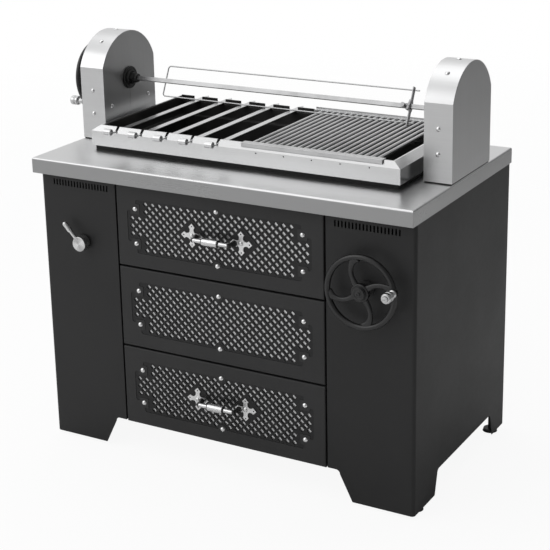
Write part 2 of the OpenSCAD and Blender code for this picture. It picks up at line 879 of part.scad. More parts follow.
// Spit towers
// The outline is a round top on straight sides, drawn with the worktop's face at y = 0
module tower_outline(shrink) {
    half = tower_d / 2 - shrink;
    translate([-half, tower_lift]) square([2 * half, spit_h - tower_lift]);
    intersection() {
        translate([0, spit_h]) circle(r = arch_r - shrink, $fn = 96);
        translate([-half, spit_h - 1]) square([2 * half, arch_r + 2]);
    }
}

module tower_sheet(x0, x1) {
    translate([0, spit_y, top]) along_x(x0, x1) children();
}

module tower_bands() {
    place() color([0.72, 0.73, 0.74]) both_sides() tower_sheet(tower_in_x, tower_out_x) difference() {
        tower_outline(0);
        tower_outline(sheet);
        translate([sheet - tower_d / 2, 0]) square([tower_d - 2 * sheet, tower_lift + 1]);
    }
}

// The inner plates are split below the hub, so that they pass over the shaft
module tower_inner_plates() {
    seam = 1;
    place() color([0.6, 0.61, 0.62]) both_sides()
        tower_sheet(tower_in_x, tower_in_x + sheet) difference() {
            tower_outline(sheet);
            translate([0, spit_h]) circle(r = bush_r + snug);
            translate([-seam / 2, 0]) square([seam, spit_h]);
        }
}

module tower_outer_plates() {
    place() color([0.6, 0.61, 0.62]) {
        tower_sheet(tower_out_x - sheet, tower_out_x) tower_outline(sheet);
        mirror([1, 0, 0]) tower_sheet(tower_out_x - sheet, tower_out_x) difference() {
            tower_outline(sheet);
            translate([0, spit_h]) circle(r = bush_r + snug);
        }
    }
}

module tower_bases() {
    wall = 6;
    place() color([0.03, 0.03, 0.03]) both_sides() difference() {
        translate([tower_in_x + sheet, tower_front + sheet, top])
            cube([tower_w - 2 * sheet, tower_d - 2 * sheet, tower_base_h]);
        translate([tower_in_x + sheet + wall, tower_front + sheet + wall, top - 1])
            cube([tower_w - 2 * sheet - 2 * wall, tower_d - 2 * sheet - 2 * wall, tower_base_h + 2]);
    }
}

module tower_bolts() {
    bolt_r = 7;
    bolt_head = 4;
    middle_x = (tower_in_x + tower_out_x) / 2;
    top_angle = 33;
    place() color([0.88, 0.88, 0.89]) both_sides() {
        for (z = [80, 149]) translate([middle_x, tower_front, top + z])
            rotate([90, 0, 0]) dome_head(bolt_r, bolt_head);
        for (z = [80, 149]) translate([middle_x, tower_front + tower_d, top + z])
            rotate([-90, 0, 0]) dome_head(bolt_r, bolt_head);
        for (a = [-top_angle, 0, top_angle]) translate([middle_x, spit_y, spit_z])
            rotate([a, 0, 0]) translate([0, 0, arch_r + 0.1]) dome_head(bolt_r, bolt_head);
        for (dy = [-96, 96]) translate([tower_in_x, spit_y + dy, top + 98])
            rotate([0, -90, 0]) dome_head(bolt_r, bolt_head);
    }
}

// Bearings
// A flanged bush along +Z, with its flange below z = 0
module bush(outer_r, bore_r, length) {
    flange = 4;
    difference() {
        union() {
            translate([0, 0, -flange]) cylinder(r = outer_r + 8, h = flange);
            cylinder(r = outer_r, h = length);
        }
        translate([0, 0, -flange - 1]) cylinder(r = bore_r, h = length + flange + 2);
    }
}

lever_bush_r = 10;
right_stub_r = 5;
damper_plate_t = 6;
flap_t = 2;
flap_gap = 1.5;

module damper_bracket(y) {
    difference() {
        translate([-lever_x - 14, y, lever_z - 14])
            cube([lever_x + 14 - well_hw, damper_plate_t, port_z + port_h + 2 - lever_z + 14]);
        translate([-lever_x, y + damper_plate_t + 1, lever_z])
            rotate([90, 0, 0]) cylinder(r = lever_shaft_r + running, h = damper_plate_t + 2);
    }
}

// The hanger at the lift shaft's rear end, fixed to the firebox wall
module shaft_hanger() {
    low = control_z - 24;
    difference() {
        along_y(hanger_y, hanger_y + hanger_t) polygon([
            [well_hw, top - 150], [control_x + 20, top - 150], [control_x + 20, low],
            [control_x - 22, low], [control_x - 22, top - well_depth - hopper_drop - 8],
            [well_hw, top - well_depth - 10]
        ]);
        translate([control_x, hanger_y + hanger_t + 1, control_z])
            rotate([90, 0, 0]) cylinder(r = shaft_d / 2 + running, h = hanger_t + 2);
    }
}

module shaft_bearings() {
    place() color([0.1, 0.1, 0.1]) {
        translate([control_x, cabinet_front, control_z])
            rotate([-90, 0, 0]) bush(bush_r, shaft_d / 2 + running, bush_l);
        shaft_hanger();
        translate([-lever_x, cabinet_front, lever_z])
            rotate([-90, 0, 0]) bush(lever_bush_r, lever_shaft_r + running, bush_l);
        damper_bracket(damper_front - damper_plate_t - 2);
        damper_bracket(damper_back + 2);
        translate([-tower_out_x, spit_y, spit_z])
            rotate([0, 90, 0]) bush(bush_r, shaft_d / 2 + running, bush_l);
        // Inside the tower, behind the hub
        translate([-tower_in_x - sheet, spit_y, spit_z])
            rotate([0, 90, 0]) bush(bush_r, shaft_d / 2 + running, sheet);
        // The cup for the spit's far end
        translate([tower_in_x, spit_y, spit_z]) rotate([0, 90, 0])
            bush(bush_r, right_stub_r + running, bush_l);
    }
}

// Charcoal lift
module lift_guides() {
    floor_z = body_z + sheet;
    place() color([0.55, 0.56, 0.57]) for (sy = [-1, 1])
        translate([post_x - post / 2, spit_y + sy * post_dy - post / 2, floor_z])
            cube([post, post, cabinet_top - floor_z]);
}

// A square sleeve that slides on a guide post
module guide_sleeve(sy, z) {
    wall = 5;
    sleeve_h = 50;
    outer = post + 2 * slip + 2 * wall;
    inner = post + 2 * slip;
    translate([post_x, spit_y + sy * post_dy, z]) difference() {
        translate([-outer / 2, -outer / 2, 0]) cube([outer, outer, sleeve_h]);
        translate([-inner / 2, -inner / 2, -1]) cube([inner, inner, sleeve_h + 2]);
    }
}

module lift_carriage() {
    plate_low = control_z - 95;
    plate_high = arm_top + 10;
    back = post_x - post / 2 - slip - 5;
    arm_end = -well_hw + 70;
    place() color([0.45, 0.46, 0.47]) {
        translate([rack_back, spit_y - post_dy - 15, plate_low])
            cube([back - rack_back, 2 * post_dy + 30, plate_high - plate_low]);
        for (sy = [-1, 1]) {
            guide_sleeve(sy, plate_low);
            guide_sleeve(sy, plate_high - 50);
            translate([arm_end, spit_y + sy * arm_dy - arm_w / 2, arm_top - arm_h])
                cube([rack_back - arm_end + 1, arm_w, arm_h]);
        }
    }
}

// Rack teeth point at the shaft, with the middle tooth level with it at rest
module rack_profile() {
    tip = gear_module * 0.8;
    root = gear_module * 1.25;
    half = rack_pitch / 4 - tooth_play;
    below = ceil((lift_up + 16) / rack_pitch);
    above = ceil((lift_down + 12) / rack_pitch);
    foot = half + root * tan(pressure);
    crest = half - tip * tan(pressure);
    low = -(below + 0.5) * rack_pitch;
    high = (above + 0.5) * rack_pitch;
    tooth = [[root, -foot], [-tip, -crest], [-tip, crest], [root, foot]];
    polygon(concat(
        [[rack_back - rack_x, low], [root, low]],
        [for (k = [-below : above], p = tooth) [p[0], p[1] + k * rack_pitch]],
        [[root, high], [rack_back - rack_x, high]]
    ));
}

module lift_rack() {
    place() color([0.5, 0.5, 0.52]) translate([rack_x, 0, control_z])
        along_y(spit_y - rack_w / 2, spit_y + rack_w / 2) rack_profile();
}

module charcoal_tray() {
    wall = 3;
    hw = well_hw - sheet - tray_gap;
    hd = well_hd - sheet - tray_gap;
    slot_l = 100;
    slot_w = 8;
    place() color([0.16, 0.15, 0.15]) translate([0, spit_y, arm_top]) difference() {
        translate([-hw, -hd, 0]) cube([2 * hw, 2 * hd, tray_h]);
        translate([wall - hw, wall - hd, wall]) cube([2 * (hw - wall), 2 * (hd - wall), tray_h]);
        for (i = [-9 : 9], j = [-1 : 1])
            translate([i * 44 - slot_w / 2, j * 116 - slot_l / 2, -1]) cube([slot_w, slot_l, wall + 2]);
    }
}

// Angle between an involute's start and its point at radius r
function involute(base_r, r) =
    let (t = sqrt(max(0, pow(r / base_r, 2) - 1))) t * 180 / PI - atan(t);

// One side of a tooth, from root to tip, at a polar angle that shrinks as it rises
function flank(base_r, tip_r, root_r, half_angle, steps) = concat(
    [[root_r, half_angle + involute(base_r, pitch_r)]],
    [for (s = [0 : steps])
        let (r = base_r + (tip_r - base_r) * s / steps)
            [r, half_angle + involute(base_r, pitch_r) - involute(base_r, r)]]
);

module pinion_profile() {
    base_r = pitch_r * cos(pressure);
    tip_r = pitch_r + gear_module;
    root_r = pitch_r - 1.25 * gear_module;
    half_angle = 90 / pinion_teeth - tooth_play / pitch_r * 180 / PI;
    side = flank(base_r, tip_r, root_r, half_angle, 5);
    last = len(side) - 1;
    polygon([for (k = [0 : pinion_teeth - 1], s = [0 : 2 * last + 1])
        let (
            middle = (k + 0.5) * 360 / pinion_teeth,
            p = s <= last ? side[s] : side[2 * last + 1 - s],
            a = s <= last ? middle - p[1] : middle + p[1]
        )
        p[0] * [cos(a), sin(a)]]);
}

module lift_pinion() {
    boss_r = shaft_d / 2 + 5;
    boss_l = 10;
    place() color([0.6, 0.6, 0.61]) translate([control_x, 0, control_z]) {
        along_y(spit_y - pinion_w / 2, spit_y + pinion_w / 2) difference() {
            pinion_profile();
            circle(r = shaft_d / 2 + snug);
        }
        along_y(spit_y + pinion_w / 2, spit_y + pinion_w / 2 + boss_l) difference() {
            circle(r = boss_r);
            circle(r = shaft_d / 2 + snug);
        }
    }
}

module lift_shaft() {
    nut_r = 14;
    nut_h = 7;
    front_y = cabinet_front - wheel_gap - hub_front;
    place() color([0.35, 0.35, 0.36]) translate([control_x, 0, control_z]) {
        translate([0, shaft_end, 0]) rotate([90, 0, 0]) cylinder(d = shaft_d, h = shaft_end - front_y);
        translate([0, front_y, 0]) rotate([90, 0, 0]) difference() {
            cylinder(r = nut_r, h = nut_h, $fn = 6);
            translate([0, 0, nut_h - 2]) cylinder(r = nut_r * 0.6, h = 3);
        }
    }
}

// Handwheel
// The axis is +Z, the rim's middle is at z = 0, and the user's side is +Z
spoke_in = 20;
spoke_steps = 12;

function spoke_edge(side) = [
    for (s = [0 : spoke_steps])
        let (
            t = s / spoke_steps,
            r = spoke_in + t * (wheel_r - 3 - spoke_in),
            width = 6 + 11 * pow(t, 7) + 3 * pow(1 - t, 3),
            a = 1 + spoke_sweep * (1 - t * t) + side * asin(width / r)
        )
        r * [cos(a), sin(a)]
];

module spoke_shape() {
    right = spoke_edge(-1);
    left = spoke_edge(1);
    polygon(concat(right, [for (s = [spoke_steps : -1 : 0]) left[s]]));
}

module handwheel(grip_angle) {
    spoke_t = 10;
    boss_r = 10;
    rotate(grip_angle) difference() {
        union() {
            rotate_extrude($fn = 72) translate([wheel_r, 0]) circle(d = rim_d, $fn = 24);
            for (k = [0 : spoke_count - 1]) rotate(k * 360 / spoke_count)
                translate([0, 0, -spoke_t / 2]) linear_extrude(spoke_t) spoke_shape();
            translate([0, 0, -8]) cylinder(r = 25, h = 16);
            cylinder(r = 19, h = hub_front);
            translate([0, 0, -hub_rear]) cylinder(r = 16, h = hub_rear);
            // Boss and stud for the turning grip
            translate([wheel_r, 0, 0]) {
                cylinder(r = boss_r, h = rim_d / 2 + 1);
                cylinder(r = stud_r, h = wheel_reach - 1);
                translate([0, 0, grip_start + grip_l + slip]) difference() {
                    cylinder(r = stud_r + 3, h = 2.4);
                    translate([-1, -10, 1.4]) cube([2, 20, 2]);
                }
            }
        }
        translate([0, 0, -hub_rear - 1]) cylinder(r = shaft_d / 2 + snug, h = hub_rear + hub_front + 2);
    }
}

// The grip turns on the handwheel's stud
module wheel_grip(grip_angle) {
    grip_r = grip_d / 2;
    bore_r = stud_r + running;
    rotate(grip_angle) translate([wheel_r, 0, grip_start]) rotate_extrude() polygon([
        [bore_r, 0], [grip_r * 0.8, 0], [grip_r * 0.8, 3.5], [grip_r * 0.58, 5],
        [grip_r * 0.55, grip_l * 0.34], [grip_r * 0.8, grip_l * 0.4], [grip_r, grip_l * 0.46],
        [grip_r, grip_l * 0.6], [grip_r * 0.93, grip_l * 0.62], [grip_r * 0.93, grip_l * 0.66],
        [grip_r, grip_l * 0.68], [grip_r, grip_l - 3], [grip_r - 3, grip_l], [bore_r, grip_l]
    ]);
}

module at_front_wheel() {
    translate([control_x, cabinet_front - wheel_gap, control_z]) rotate([90, 0, 0]) children();
}

module at_spit_wheel() {
    translate([-tower_out_x - wheel_gap, spit_y, spit_z])
        rotate([0, 0, -90]) rotate([90, 0, 0]) children();
}

module front_handwheel() {
    place() color([0.1, 0.1, 0.105]) at_front_wheel() handwheel(front_grip_angle);
}

module front_wheel_grip() {
    place() color([0.88, 0.88, 0.89]) at_front_wheel() wheel_grip(front_grip_angle);
}

module spit_handwheel() {
    place() color([0.1, 0.1, 0.105]) at_spit_wheel() handwheel(spit_grip_angle);
}

module spit_wheel_grip() {
    place() color([0.88, 0.88, 0.89]) at_spit_wheel() wheel_grip(spit_grip_angle);
}

// Spit
hub_x = -tower_in_x + 0.6;
hub_flange_r = 34;
collar_l = 20;
collar_end = hub_x + 12 + collar_l;
socket_l = 24;

// The hub turns with its axle: a bevelled flange and a collar with a square socket
module spit_hub() {
    axle_start = -tower_out_x - wheel_gap - hub_front;
    place() color([0.07, 0.07, 0.07]) translate([0, spit_y, spit_z]) difference() {
        union() {
            translate([axle_start, 0, 0]) rotate([0, 90, 0])
                cylinder(d = shaft_d, h = hub_x - axle_start + 1);
            translate([axle_start - 7, 0, 0]) rotate([0, 90, 0]) cylinder(r = 14, h = 7, $fn = 6);
            translate([hub_x, 0, 0]) rotate([0, 90, 0]) rotate_extrude() polygon([
                [0, 0], [hub_flange_r - 3, 0], [hub_flange_r, 3], [hub_flange_r - 2, 6],
                [21, 12], [17, 13], [17, 12 + collar_l - 2], [15, 12 + collar_l], [0, 12 + collar_l]
            ]);
        }
        rotate([-fork_tilt, 0, 0]) translate([collar_end - socket_l, 0, 0])
            translate([0, -spit_square / 2 - 0.15, -spit_square / 2 - 0.15])
                cube([socket_l + 1, spit_square + 0.3, spit_square + 0.3]);
    }
}

// Along the spit, with the fork's plane turned by its tilt
module on_spit() {
    translate([0, spit_y, spit_z]) rotate([-fork_tilt, 0, 0]) children();
}

fork_left = collar_end + fork_gap;
fork_right = tower_in_x - fork_tip_gap;
fork_plate_x = fork_right - fork_plate_back;

module spit() {
    start = collar_end - socket_l + 0.3;
    place() color([0.75, 0.76, 0.77]) on_spit() difference() {
        union() {
            translate([start, -spit_square / 2, -spit_square / 2])
                cube([tower_in_x - 8 - start, spit_square, spit_square]);
            translate([tower_in_x - 9, 0, 0]) rotate([0, 90, 0])
                cylinder(r = right_stub_r, h = 9 + bush_l - 1);
        }
        translate([fork_left, 0, -spit_square]) cylinder(d = wire_d + 0.1, h = 2 * spit_square);
    }
}

module spit_fork() {
    bend = 8;
    place() color([0.8, 0.8, 0.81]) on_spit() {
        translate([fork_left, 0, bend - prong_offset])
            cylinder(d = wire_d, h = 2 * (prong_offset - bend));
        for (sz = [-1, 1]) {
            translate([fork_left + bend, 0, sz * prong_offset]) rotate([0, 90, 0])
                cylinder(d = wire_d, h = fork_right - fork_left - bend);
            translate([fork_left + bend, 0, sz * (prong_offset - bend)])
                rotate([90, 0, 0]) rotate([0, 0, sz > 0 ? 90 : 180]) rotate_extrude(angle = 90)
                    translate([bend, 0]) circle(d = wire_d, $fn = 24);
        }
    }
}

// The plate that the prongs pass through, widened round the spit
module fork_plate() {
    end = prong_offset + 9;
    half = 7;
    place() color([0.55, 0.56, 0.57]) on_spit() along_x(fork_plate_x, fork_plate_x + 3) difference() {
        polygon([
            [-half, -end], [half, -end], [half, -17], [half + 8, 0], [half, 17], [half, end],
            [-half, end], [-half, 17], [-half - 8, 0], [-half, -17]
        ]);
        square(spit_square + 0.2, center = true);
        for (sz = [-1, 1]) translate([0, sz * prong_offset]) circle(d = wire_d + 0.1);
    }
}

// A folded clamp with a thumb screw, beside the plate
module fork_clamp() {
    clamp_l = 26;
    place() color([0.5, 0.51, 0.52]) on_spit() {
        difference() {
            along_x(fork_plate_x - 6, fork_plate_x) polygon([[-16, -12], [16, -12], [0, 20]]);
            along_x(fork_plate_x - 7, fork_plate_x + 1) square(spit_square + 0.2, center = true);
        }
        for (sy = [-1, 1]) translate([0, sy * (spit_square / 2 + 1.6), 0])
            along_y(-1.4, 1.4) polygon([
                [fork_plate_x, -8], [fork_plate_x - clamp_l, -4], [fork_plate_x - clamp_l, 4],
                [fork_plate_x, 8]
            ]);
        translate([fork_plate_x - 15, -spit_square / 2 - 2.9, 0]) rotate([90, 0, 0]) {
            cylinder(r = 3, h = 8);
            translate([0, 0, 8]) cylinder(r = 6, h = 5);
        }
    }
}

// Air lever and damper
module air_lever() {
    knob_end = cabinet_front - knob_gap - knob_l;
    rod_y = knob_end + 7;
    place() color([0.8, 0.8, 0.8]) translate([-lever_x, 0, lever_z]) {
        difference() {
            translate([0, cabinet_front - knob_gap, 0]) rotate([90, 0, 0]) rotate_extrude() polygon([
                [0, 0], [knob_d / 2 - 1, 0], [knob_d / 2, 1], [knob_d / 2, knob_l - 2],
                [knob_d / 2 - 2, knob_l], [0, knob_l]
            ]);
            translate([0, cabinet_front, 0]) rotate([90, 0, 0])
                cylinder(r = lever_shaft_r + snug, h = knob_gap + knob_l / 2);
        }
        translate([0, rod_y, 0]) rotate([0, -lever_tilt, 0]) {
            cylinder(r = 4.5, h = lever_l * 0.62);
            translate([0, 0, lever_l * 0.56])
                cylinder(r1 = 4.5, r2 = 6.5, h = lever_l * 0.06);
            translate([0, 0, lever_l * 0.62]) cylinder(r = 6.5, h = lever_l * 0.38 - 6.5);
            translate([0, 0, lever_l - 6.5]) sphere(r = 6.5);
        }
    }
}

module damper_flap() {
    shaft_front = cabinet_front - knob_gap - knob_l / 2 + 1;
    shaft_back = damper_back + damper_plate_t + 6;
    place() color([0.3, 0.3, 0.31]) translate([-lever_x, 0, lever_z]) {
        translate([0, shaft_back, 0]) rotate([90, 0, 0])
            cylinder(r = lever_shaft_r, h = shaft_back - shaft_front);
        translate([lever_x - well_hw - flap_gap - flap_t, damper_front, 0])
            cube([flap_t, damper_l, port_z + port_h + 5 - lever_z]);
    }
}

// Drawers
// A box hung behind a front, with a rail on each side and a liner behind the folded front
module drawer_box(row, z, h, runner_z) {
    rail_t = opening_hw - slip - drawer_hw;
    difference() {
        translate([-drawer_hw, liner_y, z]) cube([2 * drawer_hw, drawer_depth, h]);
        translate([sheet - drawer_hw, liner_y + sheet, z + sheet])
            cube([2 * (drawer_hw - sheet), drawer_depth - 2 * sheet, h]);
    }
    translate([0.5 - front_hw, liner_y, row_z(row) - front_h / 2 + 0.5])
        cube([2 * front_hw - 1, sheet, front_h - 1]);
    both_sides() translate([drawer_hw - 0.5, liner_y + 12, runner_z - runner_h / 2 + sheet + slip])
        cube([rail_t + 0.5, drawer_depth - 30, runner_h - 2 * sheet - 2 * slip]);
}

module top_drawer_front() {
    place() color([0.15, 0.15, 0.155]) folded_front(0);
}

module top_perforated_plate() {
    place() color([0.12, 0.12, 0.125]) perforated_plate(0, true);
}

module top_backing() {
    place() color([0.62, 0.63, 0.64]) backing_sheet(0);
}

module top_studs() {
    place() color([0.9, 0.9, 0.91]) studs(0);
}

module top_handle_crosses() {
    place() color([0.85, 0.85, 0.86]) handle_crosses(0);
}

module top_handle() {
    place() color([0.82, 0.82, 0.83]) handle(0);
}

module ash_pan() {
    place() color([0.3, 0.3, 0.31]) drawer_box(0, ash_pan_z, ash_pan_h, ash_runner_z);
}

module bottom_drawer_front() {
    place() color([0.15, 0.15, 0.155]) folded_front(2);
}

module bottom_perforated_plate() {
    place() color([0.12, 0.12, 0.125]) perforated_plate(2, true);
}

module bottom_backing() {
    place() color([0.62, 0.63, 0.64]) backing_sheet(2);
}

module bottom_studs() {
    place() color([0.9, 0.9, 0.91]) studs(2);
}

module bottom_handle_crosses() {
    place() color([0.85, 0.85, 0.86]) handle_crosses(2);
}

module bottom_handle() {
    place() color([0.82, 0.82, 0.83]) handle(2);
}

module bottom_drawer_box() {
    place() color([0.3, 0.3, 0.31]) drawer_box(2, drawer_box_z, drawer_box_h, drawer_runner_z);
}

// Grate
// The bars run from front to back between two folded rails that hang over the lips
module grate() {
    front_reach = 11;
    front_rail_y = -rim_hd - lip_land - front_reach;
    flange_h = (front_reach - sheet) * (lip_h - box_front_h) / front_run - slip;
    drop_y = -rim_hd + 6;
    bar_top = lip_h + 1.5;
    rear_drop_y = rim_hd - 9;
    side_margin = 24;
    pitch = (grate_w - 2 * side_margin) / (bar_count - 1);
    place() color([0.7, 0.71, 0.72]) translate([grate_left, spit_y, top]) {
        // Front rail: a strip over the lip with a flange before it and one inside it
        translate([0, front_rail_y, lip_h]) cube([grate_w, drop_y + sheet - front_rail_y, sheet]);
        translate([0, front_rail_y, lip_h - flange_h]) cube([grate_w, sheet, flange_h + sheet]);
        translate([0, drop_y, lip_h - 10]) cube([grate_w, sheet, 10 + sheet]);
        // Rear rail with an upstand
        translate([0, rear_drop_y, lip_h]) cube([grate_w, 9 + lip_land, sheet]);
        translate([0, rear_drop_y, lip_h - 10]) cube([grate_w, sheet, 10 + sheet]);
        translate([0, rim_hd + lip_land - sheet, lip_h]) cube([grate_w, sheet, 8]);
        // Cross bar under the bars
        translate([side_margin - bar_w / 2, 12, bar_top - 15])
            cube([grate_w - 2 * side_margin + bar_w, 5, 8]);
        for (i = [0 : bar_count - 1]) translate([side_margin + i * pitch, 0, 0])
            along_y(drop_y + sheet / 2, rear_drop_y + sheet / 2) {
                translate([-bar_w / 2, bar_top - 9]) square([bar_w, 9 - bar_w / 2]);
                translate([0, bar_top - bar_w / 2]) circle(d = bar_w, $fn = 24);
            }
    }
}

// Skewers
// A flat blade with a point behind the rest, a thin neck in the notch and a rolled end
module skewer(i) {
    lip_y = spit_y - rim_hd - lip_land;
    blade_front = spit_y - rim_hd + 10;
    rest_y = spit_y + rim_hd + rest_t;
    tip_y = rest_y + skewer_rear;
    point = 22;
    roll_y = lip_y - skewer_front;
    roll_l = 24;
    roll_t = 3;
    place() color([0.72, 0.72, 0.73]) translate([skewer_x(i), 0, top + rest_z + slip]) {
        linear_extrude(blade_t) polygon([
            [-roll_l / 2, roll_y], [roll_l / 2, roll_y], [roll_l / 2, roll_y + 3],
            [neck_hw, roll_y + 14], [neck_hw, blade_front - 12], [blade_w / 2, blade_front],
            [blade_w / 2, tip_y - point], [0, tip_y], [-blade_w / 2, tip_y - point],
            [-blade_w / 2, blade_front], [-neck_hw, blade_front - 12], [-neck_hw, roll_y + 14],
            [-roll_l / 2, roll_y + 3]
        ]);
        translate([-roll_l / 2, roll_y, eye_d / 2]) rotate([0, 90, 0]) difference() {
            cylinder(d = eye_d, h = roll_l);
            translate([0, 0, -1]) cylinder(d = eye_d - 2 * roll_t, h = roll_l + 2);
        }
    }
}

module skewer_1() skewer(0);
module skewer_2() skewer(1);
module skewer_3() skewer(2);
module skewer_4() skewer(3);
module skewer_5() skewer(4);

worktop();
left_column();
right_column();
back_panel();
base_floor();
front_rail();
partitions();
runner_channels();
levelling_feet();
middle_panel();
middle_perforated_plate();
middle_backing();
middle_studs();
plinth();
grill_box();
firebox();
skewer_rest();
tower_bases();
tower_bands();
tower_inner_plates();
tower_outer_plates();
tower_bolts();
shaft_bearings();
lift_guides();
lift_carriage();
lift_rack();
charcoal_tray();
front_handwheel();
lift_shaft();
lift_pinion();
front_wheel_grip();
spit_handwheel();
spit_hub();
spit();
spit_fork();
fork_plate();
fork_clamp();
spit_wheel_grip();
air_lever();
damper_flap();
top_drawer_front();
top_perforated_plate();
top_backing();
top_studs();
top_handle_crosses();
top_handle();
ash_pan();
bottom_drawer_front();
bottom_perforated_plate();
bottom_backing();
bottom_studs();
bottom_handle_crosses();
bottom_handle();
bottom_drawer_box();
grate();
skewer_1();
skewer_2();
skewer_3();
skewer_4();
skewer_5();
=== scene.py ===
"""Looks of the mangal grill: its finishes, its cast and turned details, and the stage.

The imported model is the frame. Sheet parts keep their CAD shape and get a finish and softened
edges. The castings, turned parts, handles and studs are new surfaces.
All lengths are in metres: +X to the right along the worktop, +Y to the back, +Z up.
"""

import json
import math

import bmesh
import bpy
import numpy as np
from mathutils import Matrix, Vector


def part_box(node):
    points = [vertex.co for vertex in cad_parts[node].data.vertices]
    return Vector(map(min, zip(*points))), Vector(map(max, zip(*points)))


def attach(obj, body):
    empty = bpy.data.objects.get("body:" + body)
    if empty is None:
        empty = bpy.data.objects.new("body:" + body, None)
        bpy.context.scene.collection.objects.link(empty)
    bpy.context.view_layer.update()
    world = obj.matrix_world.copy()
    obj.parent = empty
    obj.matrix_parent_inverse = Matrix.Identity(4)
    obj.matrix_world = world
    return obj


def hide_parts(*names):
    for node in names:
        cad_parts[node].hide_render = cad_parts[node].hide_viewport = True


bl_info = {
    "name": "Mangal grill",
    "version": (1, 0, 0),
    "blender": (4, 5, 0),
    "location": "3D View > Sidebar > Grill",
    "description": "Finishes, cast and turned details and a stage for the charcoal grill",
    "category": "Object",
}

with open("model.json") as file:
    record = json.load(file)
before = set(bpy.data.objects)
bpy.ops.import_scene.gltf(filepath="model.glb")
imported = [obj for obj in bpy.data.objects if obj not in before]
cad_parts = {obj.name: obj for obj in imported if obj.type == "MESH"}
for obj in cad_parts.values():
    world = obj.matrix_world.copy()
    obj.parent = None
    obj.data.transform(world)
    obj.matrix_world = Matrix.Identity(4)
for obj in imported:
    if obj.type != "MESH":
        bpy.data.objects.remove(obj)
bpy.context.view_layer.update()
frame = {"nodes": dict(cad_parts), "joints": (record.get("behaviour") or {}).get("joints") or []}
JOINT = {joint["name"]: joint for joint in frame["joints"]}

MM = 0.001
TAU = 2 * math.pi

# Faces of the columns, the worktop, the left tower and the drawer fronts, and the middle of each row and
# of the cabinet
PANEL_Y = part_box("right_column")[0].y
WORKTOP_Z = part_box("worktop")[1].z
TOWER_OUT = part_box("tower_outer_plates")[0].x
ROW_Z = {
    row: (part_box(f"{row}_perforated_plate")[0].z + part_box(f"{row}_perforated_plate")[1].z) / 2
    for row in ("top", "middle", "bottom")
}
CENTRE_X = (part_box("worktop")[0].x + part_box("worktop")[1].x) / 2
FRONT_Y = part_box("top_drawer_front")[0].y

# Local axes as rows: in-plane right, in-plane up, and the way a piece points
TO_FRONT = np.array([[1, 0, 0], [0, 0, 1], [0, -1, 0]], float)
TO_LEFT = np.array([[0, -1, 0], [0, 0, 1], [-1, 0, 0]], float)
TO_RIGHT = np.array([[0, 1, 0], [0, 0, 1], [1, 0, 0]], float)

# Middle and axes of the two handwheels and of the air lever
WHEEL_STANDOFF = 38 * MM
LIFT_AT = JOINT["lift_wheel_turn"]["pos_m"]
SPIT_AT = JOINT["spit_turn"]["pos_m"]
LEVER_AT = JOINT["air_lever_turn"]["pos_m"]
FRONT_WHEEL = (np.array([LIFT_AT[0], PANEL_Y - WHEEL_STANDOFF, LIFT_AT[2]]), TO_FRONT)
SPIT_WHEEL = (np.array([TOWER_OUT - WHEEL_STANDOFF, SPIT_AT[1], SPIT_AT[2]]), TO_LEFT)
LEVER = (np.array([LEVER_AT[0], PANEL_Y, LEVER_AT[2]]), TO_FRONT)

# Angles at rest in degrees: of the lever's rod and of the grips round their wheels
LEVER_TILT = 43
FRONT_GRIP = 9
SPIT_GRIP = -50


# Shader maths
class Signal:
    """A shader socket in an expression: arithmetic on it adds Math nodes to its tree."""

    def __init__(self, tree, socket):
        self.tree = tree
        self.socket = socket

    def maths(self, operation, first, second=0.0, clamp=False):
        """One Math node. Each value is a number or another signal."""
        node = self.tree.nodes.new("ShaderNodeMath")
        node.operation = operation
        node.use_clamp = clamp
        for place, value in enumerate((first, second)):
            if isinstance(value, Signal):
                self.tree.links.new(value.socket, node.inputs[place])
            else:
                node.inputs[place].default_value = value
        return Signal(self.tree, node.outputs[0])

    def __add__(self, other):
        return self.maths("ADD", self, other)

    def __radd__(self, other):
        return self.maths("ADD", other, self)

    def __sub__(self, other):
        return self.maths("SUBTRACT", self, other)

    def __rsub__(self, other):
        return self.maths("SUBTRACT", other, self)

    def __mul__(self, other):
        return self.maths("MULTIPLY", self, other)

    def __rmul__(self, other):
        return self.maths("MULTIPLY", other, self)

    def __truediv__(self, other):
        return self.maths("DIVIDE", self, other)

    def __pow__(self, other):
        return self.maths("POWER", self, other)

    def sine(self):
        return self.maths("SINE", self)

    def cosine(self):
        return self.maths("COSINE", self)

    def clamped(self):
        return self.maths("ADD", self, 0.0, clamp=True)


